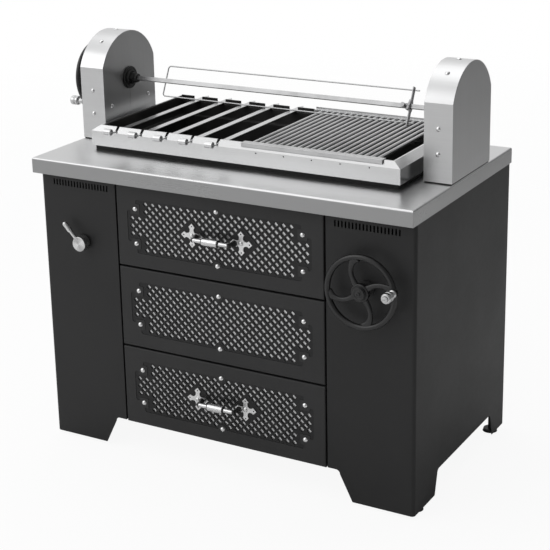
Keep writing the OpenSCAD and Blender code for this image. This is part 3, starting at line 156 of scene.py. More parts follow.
class Finish:
    """A material being made: one Principled shader and the nodes that feed it."""

    def __init__(self, name):
        self.material = bpy.data.materials.new(name)
        self.material.use_nodes = True
        self.tree = self.material.node_tree
        self.tree.nodes.clear()
        self.output = self.tree.nodes.new("ShaderNodeOutputMaterial")
        self.shader = self.tree.nodes.new("ShaderNodeBsdfPrincipled")
        self.tree.links.new(self.shader.outputs[0], self.output.inputs["Surface"])

    def node(self, kind, settings=None, values=None, out=0):
        """Any node: its type, its settings, the values or links of its sockets, and the output to use."""
        node = self.tree.nodes.new(kind)
        for name, value in (settings or {}).items():
            if name == "stops":
                ramp = node.color_ramp.elements
                for k, (place, level) in enumerate(value):
                    stop = ramp[k] if k < 2 else ramp.new(place)
                    stop.position = place
                    stop.color = (level, level, level, 1)
            else:
                setattr(node, name, value)
        for name, value in (values or {}).items():
            if isinstance(value, Signal):
                self.tree.links.new(value.socket, node.inputs[name])
            else:
                node.inputs[name].default_value = value
        return Signal(self.tree, node.outputs[out])

    def place(self, scale=(1, 1, 1), offset=(0, 0, 0)):
        """Object coordinates in metres, stretched by scale."""
        coords = self.node("ShaderNodeTexCoord", out="Object")
        return self.node("ShaderNodeMapping", values={"Vector": coords, "Scale": scale, "Location": offset})

    def noise(self, vector, scale, detail=2.0, roughness=0.5):
        return self.node(
            "ShaderNodeTexNoise",
            values={"Vector": vector, "Scale": scale, "Detail": detail, "Roughness": roughness},
        )

    def ramp(self, value, low, high, start=0.0, end=1.0):
        """Carries value from low..high to start..end, held at both ends."""
        return self.node(
            "ShaderNodeMapRange",
            values={"Value": value, "From Min": low, "From Max": high, "To Min": start, "To Max": end},
        )

    def blend(self, factor, first, second):
        """A colour between two colours, by the sockets that a mix node has for colours."""
        node = self.tree.nodes.new("ShaderNodeMix")
        node.data_type = "RGBA"
        for place, value in ((0, factor), (6, first), (7, second)):
            if isinstance(value, Signal):
                self.tree.links.new(value.socket, node.inputs[place])
            elif place:
                node.inputs[place].default_value = (*value, 1)
            else:
                node.inputs[place].default_value = value
        return Signal(self.tree, node.outputs[2])

    def bump(self, height, depth):
        """A normal raised by height times depth in metres."""
        return self.node("ShaderNodeBump", values={"Height": height, "Distance": depth, "Strength": 1.0})

    def set(self, **sockets):
        """Sets or links the shader's sockets, with _ for each space in a name, and gives the material."""
        for name, value in sockets.items():
            socket = self.shader.inputs[name.replace("_", " ")]
            if isinstance(value, Signal):
                self.tree.links.new(value.socket, socket)
            elif isinstance(value, tuple):
                socket.default_value = (*value, 1) if len(value) == 3 else value
            else:
                socket.default_value = value
        return self.material


def tone(colour, factor):
    """The colour made lighter or darker by a factor."""
    return tuple(min(1.0, max(0.0, c * factor)) for c in colour[:3])


def brushed_steel(name, colour, grain, roughness, depth=0.00002, marks=0.06, painted_shade=None, contrast=0.06):
    """Rolled sheet brushed along one axis: long fine streaks and broad, faint, rubbed clouds. Marks is how
    far they change the roughness. A painted shade, as height and share, darkens what hangs below that
    height: painted shade on the sheet's turned-down edges."""
    f = Finish(name)
    along, across = 4.0, 420.0
    scale = tuple(along if axis == grain else across for axis in "XYZ")
    streaks = f.noise(f.place(scale), 1.0, 3.0, 0.6)
    wide = f.noise(f.place(tuple(s * 0.22 for s in scale), (3, 1, 2)), 1.0, 2.0)
    clouds = f.noise(f.place((1, 1, 1), (5, 2, 7)), 3.2, 3.0)
    level = f.ramp(streaks * 0.6 + wide * 0.4, 0.3, 0.7)
    rubbed = f.ramp(clouds, 0.35, 0.65)
    sheet = f.blend(level * 0.6 + rubbed * 0.4, tone(colour, 1 - contrast), tone(colour, 1 + contrast))
    # Painted shade: below the given height the colour is darkened by the given share
    if painted_shade:
        height = f.node("ShaderNodeSeparateXYZ", values={0: f.place()}, out="Z")
        sheet = f.blend(f.ramp(height, painted_shade[0] - 0.002, painted_shade[0]), tone(colour, painted_shade[1]), sheet)
    return f.set(
        Base_Color=sheet,
        Metallic=1.0,
        Roughness=(level * marks + rubbed * marks + (roughness - marks)),
        Normal=f.bump(streaks, depth),
    )


def textured_paint(name, colour, roughness=0.5, grain=1100.0, depth=0.00004):
    """Baked black paint with a fine orange-peel grain and slightly glossier rubbed clouds."""
    f = Finish(name)
    peel = f.noise(f.place(), grain, 2.0)
    clouds = f.noise(f.place((1, 1, 1), (1, 4, 2)), 4.5, 3.0, 0.55)
    dust = f.noise(f.place((1, 1, 1), (8, 3, 5)), 60.0, 4.0, 0.7)
    return f.set(
        Base_Color=f.blend(f.ramp(clouds, 0.3, 0.7), tone(colour, 0.88), tone(colour, 1.12)),
        Roughness=f.ramp(clouds * 0.7 + dust * 0.3, 0.3, 0.7, roughness - 0.05, roughness + 0.05),
        Specular_IOR_Level=0.3,
        Normal=f.bump(peel, depth),
    )


def cast_enamel(name, colour, roughness=0.36):
    """Black enamel over cast iron: the sand's lumps show softly through the gloss."""
    f = Finish(name)
    lumps = f.noise(f.place(), 260.0, 3.0, 0.55)
    pores = f.noise(f.place((1, 1, 1), (2, 2, 2)), 900.0, 2.0)
    return f.set(
        Base_Color=f.blend(f.ramp(lumps, 0.35, 0.7), tone(colour, 0.8), tone(colour, 1.25)),
        Roughness=f.ramp(pores, 0.3, 0.7, roughness - 0.05, roughness + 0.08),
        Normal=f.bump(lumps * 0.8 + pores * 0.2, 0.00022),
    )


def bright_metal(name, colour, roughness, depth=0.00001):
    """Polished or plated metal with faint smears and fine scratches."""
    f = Finish(name)
    smears = f.noise(f.place(), 38.0, 4.0, 0.6)
    scratches = f.noise(f.place((900, 60, 900)), 1.0, 2.0)
    return f.set(
        Base_Color=f.blend(f.ramp(smears, 0.35, 0.7), colour, tone(colour, 0.9)),
        Metallic=1.0,
        Roughness=f.ramp(smears, 0.3, 0.75, roughness, roughness + 0.1),
        Normal=f.bump(scratches, depth),
    )


def turned_metal(name, colour, origin, axis, roughness=0.2, pitch=0.0004, depth=0.00001):
    """Metal from a lathe: fine rings round the axis through origin, and rings along it."""
    f = Finish(name)
    here = f.place((1, 1, 1), tuple(-c for c in origin))
    flat = tuple(0.0 if k == axis else 1.0 for k in "XYZ")
    radial = f.node("ShaderNodeVectorMath", {"operation": "MULTIPLY"}, {0: here, 1: flat})
    radius = f.node("ShaderNodeVectorMath", {"operation": "LENGTH"}, {0: radial}, out="Value")
    height = f.node("ShaderNodeSeparateXYZ", values={0: here}, out=axis)
    rings = (radius * (TAU / pitch)).sine() * 0.5 + (height * (TAU / pitch)).sine() * 0.5
    smears = f.noise(f.place((1, 1, 1), (4, 4, 1)), 60.0, 3.0)
    return f.set(
        Base_Color=f.blend(f.ramp(smears, 0.3, 0.7), colour, tone(colour, 0.9)),
        Metallic=1.0,
        Roughness=f.ramp(smears, 0.3, 0.7, roughness, roughness + 0.08),
        Normal=f.bump(rings, depth),
    )


def soot_black(name, colour, ash=0.25, roughness=0.5):
    """Heat-proof black with pale ash dust in broad patches and a rough, burnt grain."""
    f = Finish(name)
    patches = f.noise(f.place(), 9.0, 5.0, 0.6)
    grit = f.noise(f.place((1, 1, 1), (6, 1, 3)), 700.0, 3.0, 0.7)
    cover = f.ramp(patches * 0.75 + grit * 0.25, 0.5, 0.75, 0.0, ash)
    return f.set(
        Base_Color=f.blend(cover, colour, (0.16, 0.155, 0.15)),
        Roughness=f.ramp(patches, 0.3, 0.7, roughness, roughness + 0.28),
        Normal=f.bump(grit, 0.00012),
    )


def zinc_plate(name, colour):
    """Zinc-coated sheet: a patchwork of dull crystals."""
    f = Finish(name)
    crystals = f.node(
        "ShaderNodeTexVoronoi", {"feature": "F1"}, {"Vector": f.place(), "Scale": 55.0}, out="Color"
    )
    level = f.node("ShaderNodeSeparateColor", values={0: crystals})
    return f.set(
        Base_Color=f.blend(level, tone(colour, 0.82), tone(colour, 1.12)),
        Metallic=1.0,
        Roughness=f.ramp(level, 0.0, 1.0, 0.34, 0.5),
        Normal=f.bump(f.noise(f.place(), 500.0, 2.0), 0.00002),
    )


def used_steel(name, colour, grain="Y", roughness=0.3, stain=0.25):
    """Flat ground steel that meets the fire: fine grinding lines and darker heat stains."""
    f = Finish(name)
    scale = tuple(25.0 if axis == grain else 700.0 for axis in "XYZ")
    lines = f.noise(f.place(scale), 1.0, 3.0)
    heat = f.noise(f.place((1, 1, 1), (2, 7, 1)), 14.0, 4.0, 0.6)
    return f.set(
        Base_Color=f.blend(f.ramp(heat, 0.45, 0.75, 0.0, stain), colour, tone(colour, 0.42)),
        Metallic=1.0,
        Roughness=f.ramp(heat * 0.5 + lines * 0.5, 0.3, 0.7, roughness - 0.06, roughness + 0.1),
        Normal=f.bump(lines, 0.00003),
    )


def moulded(name, colour, roughness=0.55):
    """Hard black plastic or rubber with a fine eroded grain."""
    f = Finish(name)
    grain = f.noise(f.place(), 1800.0, 2.0)
    scuffs = f.noise(f.place((1, 1, 1), (3, 3, 3)), 90.0, 4.0)
    return f.set(
        Base_Color=f.blend(f.ramp(scuffs, 0.45, 0.75), colour, tone(colour, 1.6)),
        Roughness=f.ramp(scuffs, 0.3, 0.7, roughness - 0.06, roughness + 0.08),
        Normal=f.bump(grain, 0.00005),
    )


# Surfaces
class Shell:
    """Grids of points gathered into one mesh."""

    def __init__(self):
        self.points = []
        self.faces = []
        self.count = 0

    def add(self, grid, wrap_u=False, wrap_v=False, caps=False):
        """Adds a grid (u, v, 3) and the quads between neighbours. A wrapped direction joins its last
        line to its first. With caps, the first and the last line in u are closed by one face each."""
        rows, cols = grid.shape[:2]
        u, v = np.meshgrid(
            np.arange(rows if wrap_u else rows - 1), np.arange(cols if wrap_v else cols - 1), indexing="ij"
        )
        up, vp = (u + 1) % rows, (v + 1) % cols
        quads = np.stack([u * cols + v, u * cols + vp, up * cols + vp, up * cols + v], -1)
        self.faces += (quads.reshape(-1, 4) + self.count).tolist()
        if caps:
            self.faces.append((np.arange(cols)[::-1] + self.count).tolist())
            self.faces.append((np.arange(cols) + (rows - 1) * cols + self.count).tolist())
        self.points.append(grid.reshape(-1, 3))
        self.count += rows * cols
        return self

    def placed(self, origin, axes):
        """Carries every point so far from local coordinates to the frame."""
        self.points = [origin + p @ axes for p in self.points]
        return self

    def take(self, other):
        """Adds all of another shell's faces."""
        self.faces += [[i + self.count for i in face] for face in other.faces]
        self.points += other.points
        self.count += other.count
        return self

    def piece(self, name, body, slot, finish, replaces=(), sharp=35.0):
        """Makes the object: doubles merged, normals outwards, smooth up to the sharp angle."""
        mesh = bpy.data.meshes.new(name)
        mesh.from_pydata(np.concatenate(self.points).tolist(), [], self.faces)
        work = bmesh.new()
        work.from_mesh(mesh)
        bmesh.ops.remove_doubles(work, verts=work.verts, dist=1e-6)
        bmesh.ops.dissolve_degenerate(work, edges=work.edges, dist=1e-7)
        bmesh.ops.recalc_face_normals(work, faces=work.faces)
        work.to_mesh(mesh)
        work.free()
        mesh.shade_smooth()
        mesh.set_sharp_from_angle(angle=math.radians(sharp))
        mesh.materials.append(finish)
        piece = bpy.data.objects.new(name, mesh)
        bpy.context.scene.collection.objects.link(piece)
        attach(piece, body)
        if replaces:
            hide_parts(*replaces)
        return piece


def rounded(profile, radius, steps=4):
    """A polyline whose inner corners are rounded: each becomes a quadratic curve
    (1-t)^2 A + 2t(1-t) P + t^2 B between points at most radius away along its two sides."""
    p = np.asarray(profile, float)
    before, here, after = p[:-2], p[1:-1], p[2:]
    back, ahead = before - here, after - here
    back_len = np.linalg.norm(back, axis=1, keepdims=True)
    ahead_len = np.linalg.norm(ahead, axis=1, keepdims=True)
    reach = np.minimum(radius, 0.45 * np.minimum(back_len, ahead_len))
    a, b = here + back / back_len * reach, here + ahead / ahead_len * reach
    t = np.linspace(0, 1, steps)[None, :, None]
    curve = (1 - t) ** 2 * a[:, None] + 2 * t * (1 - t) * here[:, None] + t**2 * b[:, None]
    return np.concatenate([p[:1], curve.reshape(-1, p.shape[1]), p[-1:]])


def lathe(profile, steps=48, radius=None):
    """Turns a profile of (radius, height) points about the local Z axis: the point at angle a is
    (r cos a, r sin a, h)."""
    p = np.asarray(profile, float) if radius is None else rounded(profile, radius)
    a = np.linspace(0, TAU, steps, endpoint=False)
    return np.stack(
        [
            p[:, :1] * np.cos(a)[None, :],
            p[:, :1] * np.sin(a)[None, :],
            np.repeat(p[:, 1:], steps, axis=1),
        ],
        -1,
    )


def turned(profile, steps, radius=None):
    """A shell from the lathe: the profile's points in millimetres, the corners' radius in metres."""
    return Shell().add(lathe(np.array(profile, float) * MM, steps, radius), False, True)


def torus(major, minor, steps=96, section=20):
    """A ring: the section angle s and the ring angle a give
    ((R + r cos s) cos a, (R + r cos s) sin a, r sin s)."""
    a = np.linspace(0, TAU, steps, endpoint=False)[:, None]
    s = np.linspace(0, TAU, section, endpoint=False)[None, :]
    ring = major + minor * np.cos(s)
    return np.stack([ring * np.cos(a), ring * np.sin(a), minor * np.sin(s) + 0 * a], -1)


def sweep(path, section, up):
    """Carries sections (n, m, 2) along a path (n, 3): the first section axis is across the path and
    square to up, the second is along up."""
    path = np.asarray(path, float)
    tangent = np.gradient(path, axis=0)
    tangent /= np.linalg.norm(tangent, axis=1, keepdims=True)
    up = np.broadcast_to(np.asarray(up, float), path.shape)
    side = np.cross(tangent, up)
    side /= np.linalg.norm(side, axis=1, keepdims=True)
    lift = np.cross(side, tangent)
    return path[:, None] + section[..., :1] * side[:, None] + section[..., 1:] * lift[:, None]


def oval(half_width, half_height, power=2.6, steps=20):
    """Superellipse sections, one for each pair of half sizes: |x/w|^p + |y/h|^p = 1."""
    a = np.linspace(0, TAU, steps, endpoint=False)[None, :]
    c, s = np.cos(a), np.sin(a)
    w, h = np.atleast_1d(half_width)[:, None], np.atleast_1d(half_height)[:, None]
    x = w * np.sign(c) * np.abs(c) ** (2 / power)
    y = h * np.sign(s) * np.abs(s) ** (2 / power)
    return np.stack([x + 0 * h, y + 0 * w], -1)


def slotted_head(radius, height, slot_width, slot_depth, steps=72, rings=22):
    """A screw head on z = 0: a low dome, h (1 - 0.25 (r/R)^2), that falls by the slot's depth
    where |y| is under half the slot's width."""
    r = np.concatenate([np.linspace(0, radius, rings), [radius]])[:, None]
    a = np.linspace(0, TAU, steps, endpoint=False)[None, :]
    x, y = r * np.cos(a), r * np.sin(a)
    z = height * (1 - 0.25 * (r / radius) ** 2) + 0 * a
    cut = np.clip((slot_width / 2 - np.abs(y)) / (0.12 * MM) + 0.5, 0, 1)
    z = z - slot_depth * cut
    z[-1] = 0
    return np.stack([x, y, z], -1)


# Sizes and colours that a user would change
def colour_setting(name, description, default):
    return bpy.props.FloatVectorProperty(
        name=name, description=description, subtype="COLOR", size=3, min=0, max=1, default=default
    )


def size_setting(name, description, low, high, default, **kind):
    return bpy.props.FloatProperty(
        name=name, description=description, min=low, max=high, default=default, **kind
    )


class GrillFinishes(bpy.types.PropertyGroup):
    steel: colour_setting("Sheet steel", "Colour of the brushed steel sheets", (0.56, 0.562, 0.565))
    polished: colour_setting("Polished steel", "Colour of the grill box", (0.66, 0.662, 0.665))
    paint: colour_setting(
        "Cabinet paint", "Colour of the baked paint on the cabinet", (0.0185, 0.0185, 0.0188)
    )
    steel_roughness: size_setting(
        "Steel roughness", "Roughness of the brushed sheets", 0, 1, 0.3, subtype="FACTOR"
    )
    paint_roughness: size_setting(
        "Paint roughness", "Roughness of the cabinet paint", 0, 1, 0.5, subtype="FACTOR"
    )
    edge: size_setting(
        "Edge rounding", "Radius of the softened sheet edges", 0, 0.002, 0.0006, unit="LENGTH"
    )


class GrillDetails(bpy.types.PropertyGroup):
    rim_radius: size_setting(
        "Handwheel rim", "Radius of the handwheel rims to the middle of the section", 0.08, 0.11, 0.0965,
        unit="LENGTH",
    )
    rim_section: size_setting(
        "Rim section", "Radius of the rim's round section", 0.005, 0.01, 0.008, unit="LENGTH"
    )
    spoke_count: bpy.props.IntProperty(
        name="Spokes", description="Number of curved spokes in each handwheel", min=3, max=6, default=4
    )
    spoke_sweep: size_setting(
        "Spoke sweep", "How far each spoke turns from the hub to the rim", 0, 0.8, math.radians(25),
        unit="ROTATION",
    )
    stud_radius: size_setting(
        "Stud radius", "Radius of the domed studs on the drawer fronts", 0.004, 0.0095, 0.0075,
        unit="LENGTH",
    )


class GrillStage(bpy.types.PropertyGroup):
    lens: size_setting("Lens", "Focal length of the camera, in millimetres", 50, 200, 96.441)
    key: size_setting(
        "Key lamp", "Power of the large soft lamp above the front left, in watts", 0, 2000, 52
    )
    fill: size_setting("Fill lamp", "Power of the soft lamp at the right, in watts", 0, 2000, 3)
    sky: size_setting("Room light", "Brightness of the soft light from all round", 0, 2, 1.15)


def finishes():
    return bpy.context.scene.grill_finishes


def details():
    return bpy.context.scene.grill_details


def dress(material, *nodes, edge=0.0, crease=32):
    """Gives CAD nodes a finish. With an edge radius, their doubles are welded and the edges that turn
    by more than the crease angle are rounded."""
    for name in nodes:
        node = frame["nodes"][name]
        if node.data.materials:
            node.data.materials[0] = material
        else:
            node.data.materials.append(material)
        if edge:
            node.data.shade_smooth()
            weld = node.modifiers.new("Weld", "WELD")
            weld.merge_threshold = 2e-6
            bevel = node.modifiers.new("Edges", "BEVEL")
            bevel.width = edge
            bevel.segments = 2
            bevel.limit_method = "ANGLE"
            bevel.angle_limit = math.radians(crease)
            bevel.use_clamp_overlap = True
            bevel.harden_normals = True
            even = node.modifiers.new("Even", "WEIGHTED_NORMAL")
            even.keep_sharp = True


# Handwheels: how far over the rim's middle the grip's foot and the screw's head sit, and the slot's turn
GRIP_FOOT = 9.3 * MM
SCREW_SEAT = 53.6 * MM
SLOT_TURN = 20


def turned_axes(degrees):
    """Axes as rows, turned about the local Z axis."""
    a = math.radians(degrees)
    return np.array([[math.cos(a), math.sin(a), 0], [-math.sin(a), math.cos(a), 0], [0, 0, 1]])


def grip_spot(grip_angle, height=0.0):
    """The grip's place on the rim in the wheel's own axes."""
    a, radius = math.radians(grip_angle), details().rim_radius
    return np.array([radius * math.cos(a), radius * math.sin(a), height])


def wheel_casting(place, grip_angle):
    """A cast handwheel: a torus rim, curved spokes that flare into it, a stepped hub and the grip's
    boss with its stud. Along a spoke, span goes from 0 at the hub to 1 at the rim, and its angle is
    sweep (1 - span^2); width and height are half sizes of its section."""
    d = details()
    shell = Shell().add(torus(d.rim_radius, d.rim_section), True, True)
    t = np.linspace(0, 1, 28)
    inner, outer = 18 * MM, d.rim_radius - 2 * MM
    r = inner + t * (outer - inner)
    span = np.clip((r - 20 * MM) / (d.rim_radius - 23 * MM), 0, 1)
    turn = math.radians(1) + d.spoke_sweep * (1 - span**2)
    width = (6 + 11 * span**7 + 3 * (1 - span) ** 3) * MM
    height = (4.4 + 1.4 * (1 - span) ** 2 + 1.6 * span**6) * MM
    for k in range(d.spoke_count):
        a = turn + math.radians(grip_angle) + k * TAU / d.spoke_count
        path = np.stack([r * np.cos(a), r * np.sin(a), 0 * r], -1)
        shell.add(sweep(path, oval(width, height, 2.3), (0, 0, 1)), False, True, caps=True)
    hub = [
        (9, -19), (16, -19), (16, -9), (20, -8), (25, -6.5), (25, 6.5), (23.5, 8), (21, 8.2), (20, 7.6),
        (19, 8), (18.5, 12), (10.5, 12), (9.3, 11), (9.02, 10),
    ]
    shell.take(turned(hub, 64, 0.8 * MM)).take(turned([(9.02, 10), (9.02, -19)], 64))
    boss = [(0, -7.5), (7, -7.2), (9.6, -5), (10, 0), (10, 7.4), (9.4, 9), (4, 9), (4, 54.4), (0, 54.4)]
    knob = turned(boss, 40, 0.6 * MM).placed(grip_spot(grip_angle), turned_axes(grip_angle))
    return shell.take(knob).placed(*place)


def wheel_grip(place, grip_angle):
    """A turned steel grip: a flared foot, a waist and a barrel with two grooves, bored for its stud."""
    profile = [
        (4.05, 0), (10.6, 0), (11.2, 0.8), (11.2, 3.2), (9.4, 4.8), (8.1, 5.6), (7.7, 14.8), (9.6, 16.6),
        (11.2, 17.6), (12.6, 18.6), (14, 20.4), (14, 26.2), (13.1, 26.8), (13.1, 27.6), (14, 28.2),
        (14, 30.2), (13.1, 30.8), (13.1, 31.6), (14, 32.2), (14, 40.6), (13.4, 42.4), (11.6, 44), (8.4, 44),
        (7.6, 43.4), (4.05, 43.4), (4.05, 0),
    ]
    barrel = turned(profile, 56, 0.5 * MM).placed(grip_spot(grip_angle, GRIP_FOOT), np.eye(3))
    return barrel.placed(*place)


def grip_screw(place, grip_angle):
    """The slotted screw that keeps the grip on its stud."""
    shell = Shell().add(slotted_head(7 * MM, 2.3 * MM, 1.6 * MM, 1.2 * MM), False, True)
    shell.take(turned([(7, 0), (0, 0)], 72))
    return shell.placed(grip_spot(grip_angle, SCREW_SEAT), turned_axes(SLOT_TURN)).placed(*place)


def hub_cap(place):
    """The cap over a handwheel's nut: a flat disc with a groove and a small bolt head."""
    profile = [
        (17, 11.6), (17, 14.2), (16.4, 15.2), (12.2, 15.7), (11.6, 14.9), (10.4, 14.9), (9.8, 15.7),
        (6.6, 15.7), (6.2, 16.2), (6, 18.2), (4.6, 18.8), (2.4, 18.8), (2.2, 17), (0, 17),
    ]
    return turned(profile, 56, 0.5 * MM).placed(*place)


def lift_shaft():
    """The shaft behind the front handwheel, with a chamfer at its far end."""
    rear = (FRONT_WHEEL[0][1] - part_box("lift_shaft")[1].y) / MM
    return turned([(0, 12), (9, 12), (9, rear + 1), (8, rear), (0, rear)], 40).placed(*FRONT_WHEEL)


class GRILL_OT_handwheels(bpy.types.Operator):
    """Casts the two black handwheels and turns their bright grips and the lift's shaft"""

    bl_idname = "grill.handwheels"
    bl_label = "Handwheels and grips"

    def execute(self, context):
        enamel = cast_enamel("black_cast_enamel", (0.009, 0.009, 0.0094), 0.3)
        for label, place, angle, axis, body, grip_body, wheel, grip in (
            ("front", FRONT_WHEEL, FRONT_GRIP, "Y",
             "lift_wheel", "lift_wheel_grip", "front_handwheel", "front_wheel_grip"),
            ("spit", SPIT_WHEEL, SPIT_GRIP, "X",
             "spit_assembly", "spit_grip", "spit_handwheel", "spit_wheel_grip"),
        ):
            casting = wheel_casting(place, angle)
            casting.piece(f"{label}_wheel_casting", body, "cast_black", enamel, (wheel,))
            spot = place[0] + grip_spot(angle) @ place[1]
            bright = turned_metal(f"{label}_grip_steel", (0.6, 0.602, 0.605), tuple(spot), axis, 0.26)
            wheel_grip(place, angle).piece(f"{label}_grip_barrel", grip_body, "grip_steel", bright, (grip,))
            grip_screw(place, angle).piece(f"{label}_grip_screw", body, "grip_steel", bright)
            hub_cap(place).piece(f"{label}_hub_cap", body, "cast_black", enamel)
        bare = used_steel("bare_shaft_steel", (0.3, 0.3, 0.31), "Y", 0.35)
        lift_shaft().piece("lift_shaft_turned", "lift_wheel", "lift_steel", bare, ("lift_shaft",))
        return {"FINISHED"}


# Sheets
class GRILL_OT_sheet_steel(bpy.types.Operator):
    """Brushes the worktop and the towers and polishes the grill box"""

    bl_idname = "grill.sheet_steel"
    bl_label = "Worktop, towers and grill box"

    def execute(self, context):
        f = finishes()
        steel, rough = tuple(f.steel), f.steel_roughness
        # Painted shade: the worktop's turned-down edges, from about 4 mm under its top, take 0.6 of the
        # steel's colour
        top = brushed_steel("worktop_brushed", steel, "X", rough, painted_shade=(WORKTOP_Z - 0.004, 0.6))
        dress(top, "worktop", edge=f.edge, crease=14)
        bands = brushed_steel("tower_band_brushed", tone(steel, 1.05), "X", rough + 0.06, marks=0.03)
        dress(bands, "tower_bands", edge=0.0005, crease=14)
        plates = brushed_steel("tower_plate_brushed", tone(steel, 0.88), "Z", rough + 0.14, marks=0.03)
        dress(plates, "tower_inner_plates", "tower_outer_plates", edge=0.0004)
        polished = brushed_steel(
            "grill_box_polished", tuple(f.polished), "X", 0.22, 0.000001, 0.01, contrast=0.012
        )
        dress(polished, "grill_box")
        dress(bright_metal("cap_nut_chrome", (0.74, 0.742, 0.745), 0.14), "tower_bolts", edge=0.0003)
        return {"FINISHED"}


class GRILL_OT_cabinet(bpy.types.Operator):
    """Paints the columns, the fronts, the inner sheets and the black bases, and sets the feet"""

    bl_idname = "grill.cabinet"
    bl_label = "Cabinet, bases and feet"

    def execute(self, context):
        f = finishes()
        paint = textured_paint("cabinet_paint", tuple(f.paint), f.paint_roughness)
        dress(paint, "left_column", "right_column", "front_rail", edge=f.edge)
        inner = textured_paint("inner_paint", tone(tuple(f.paint), 0.9), f.paint_roughness + 0.06)
        dress(inner, "back_panel", "base_floor", "partitions", edge=0.0004)
        # Painted light: the fronts take the cabinet paint 1.35 times lighter, a lit copy of the same paint
        fronts = textured_paint("front_paint", tone(tuple(f.paint), 1.35), f.paint_roughness - 0.03)
        dress(fronts, "middle_panel", "top_drawer_front", "bottom_drawer_front", edge=0.0015)
        bases = textured_paint("base_black", (0.008, 0.008, 0.008), 0.6)
        dress(bases, "tower_bases", "plinth", edge=0.0005)
        dress(moulded("foot_plastic", (0.014, 0.014, 0.014)), "levelling_feet", edge=0.0006)
        return {"FINISHED"}


# Plates and studs: a stud's half width in its CAD box, and the side studs' height from their row's middle
STUD_HALF = 7.5 * MM
STUD_SPREAD = 51.5 * MM


def stud_spots(row):
    """X and Z of a row's six studs: two at each side, one at the bottom and one at the top."""
    lo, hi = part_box(f"{row}_studs")
    sides = (lo.x + STUD_HALF, hi.x - STUD_HALF)
    spots = [(x, ROW_Z[row] + s * STUD_SPREAD) for x in sides for s in (-1, 1)]
    return spots + [(CENTRE_X, z) for z in (lo.z + STUD_HALF, hi.z - STUD_HALF)]


def domed_stud(r):
    """A low dome of radius r with a short upright edge, closed behind."""
    dome = [
        (r, 0), (r, 0.5 * MM), (r * 0.93, 1.3 * MM), (r * 0.78, 2.8 * MM), (r * 0.5, 4.3 * MM),
        (r * 0.22, 4.9 * MM), (0, 5 * MM),
    ]
    one = Shell().add(lathe(np.array(dome), 32, 0.6 * MM), False, True)
    return one.add(lathe([(r, 0), (0, 0)], 32), False, True)


class GRILL_OT_plates(bpy.types.Operator):
    """Blackens the perforated plates, brightens the sheets behind them and sets the domed studs"""

    bl_idname = "grill.plates"
    bl_label = "Perforated plates and studs"

    def execute(self, context):
        plate = textured_paint("plate_black", (0.012, 0.012, 0.0125), 0.4, 800.0, 0.00002)
        dress(plate, *(f"{row}_perforated_plate" for row in ROW_Z), edge=0.0003)
        backing = brushed_steel("backing_silver", (0.66, 0.662, 0.665), "X", 0.36)
        dress(backing, *(f"{row}_backing" for row in ROW_Z))
        chrome = bright_metal("stud_chrome", (0.8, 0.802, 0.805), 0.14)
        for row, body in (("top", "top_drawer"), ("middle", "cabinet"), ("bottom", "bottom_drawer")):
            shell = Shell()
            for x, z in stud_spots(row):
                stud = domed_stud(details().stud_radius)
                shell.take(stud.placed(np.array([x, FRONT_Y, z]), TO_FRONT))
            shell.piece(f"{row}_domed_studs", body, "stud_chrome", chrome, (f"{row}_studs",), sharp=50)
        return {"FINISHED"}


# Drawer handles: the posts' feet and the bar's ends from the middle, the bar's middle from its plate, and
# how far inside its block a post starts
HANDLE_POST = 62.5 * MM
BAR_END = 57 * MM
HANDLE_REACH = 31 * MM
POST_START = 3.4 * MM


def handle_bar(centre):
    """The handle's rod, a lathe profile along X that thins a little towards its ends."""
    half = [(0, 60), (5.0, 60), (5.7, 59.3), (6.0, 50), (6.5, 36), (6.5, 20)]
    profile = [(r, -h) for r, h in half] + half[::-1]
    return turned(profile, 36).placed(centre, TO_RIGHT)


def handle_sleeve(centre):
    """The turning sleeve, a tube with rounded ends and a faint swell: r = 11.1 + 0.4 cos(pi h / 50) mm."""
    h = np.linspace(-23, 23, 15)
    swell = np.stack([11.1 + 0.4 * np.cos(math.pi * h / 50), h], -1)
    end = np.array([(6.6, 24.4), (9.6, 24.4), (10.9, 23.8)])
    profile = np.concatenate([end * (1, -1), swell, end[::-1]])
    return turned(profile, 40).placed(centre, TO_RIGHT)


def handle_washers(centre):
    """Two dark rings, one against each end of the sleeve."""
    ring = [(6.55, 0), (9.4, 0), (9.8, 0.5), (9.8, 1.7), (9.4, 2.2), (6.55, 2.2), (6.55, 0)]
    shell = Shell()
    for start in (-26.8, 24.6):
        shell.take(turned([(r, start + h) for r, h in ring], 36))
    return shell.placed(centre, TO_RIGHT)


def handle_post(foot, end):
    """A cast post that leans inward from its foot block to the bar's end: a cone with hollow sides, closed
    by a dome behind the bar."""
    reach = np.linalg.norm(end - foot)
    profile = np.array([
        (0, 0), (7.6, 0), (8.6, 0.05), (8.8, 0.14), (8, 0.3), (6.7, 0.5), (5.9, 0.7), (5.9, 0.86),
        (6.5, 0.97), (6.4, 1.06), (5.4, 1.14), (3.2, 1.2), (0, 1.22),
    ]) * (MM, reach)
    along = (end - foot) / reach
    up = np.array([0.0, 0.0, 1.0])
    axes = np.stack([np.cross(up, along), up, along])
    return Shell().add(lathe(profile, 32, 1.2 * MM), False, True).placed(foot, axes)


def foot_block(spot):
    """The small square block under a post: a superellipse section, drawn in at its front edge."""
    sizes = np.array([(5.6, 8.6), (6, 9), (6, 9), (5.7, 8.7), (5.1, 8.1)]) * MM
    path = np.array([(0, 0, 0), (0, 0, 0.4), (0, 0, 3.3), (0, 0, 3.8), (0, 0, 4)]) * MM
    section = oval(sizes[:, 1], sizes[:, 0], 9.0, 48)
    return Shell().add(sweep(path, section, (1, 0, 0)), False, True, caps=True).placed(spot, TO_FRONT)


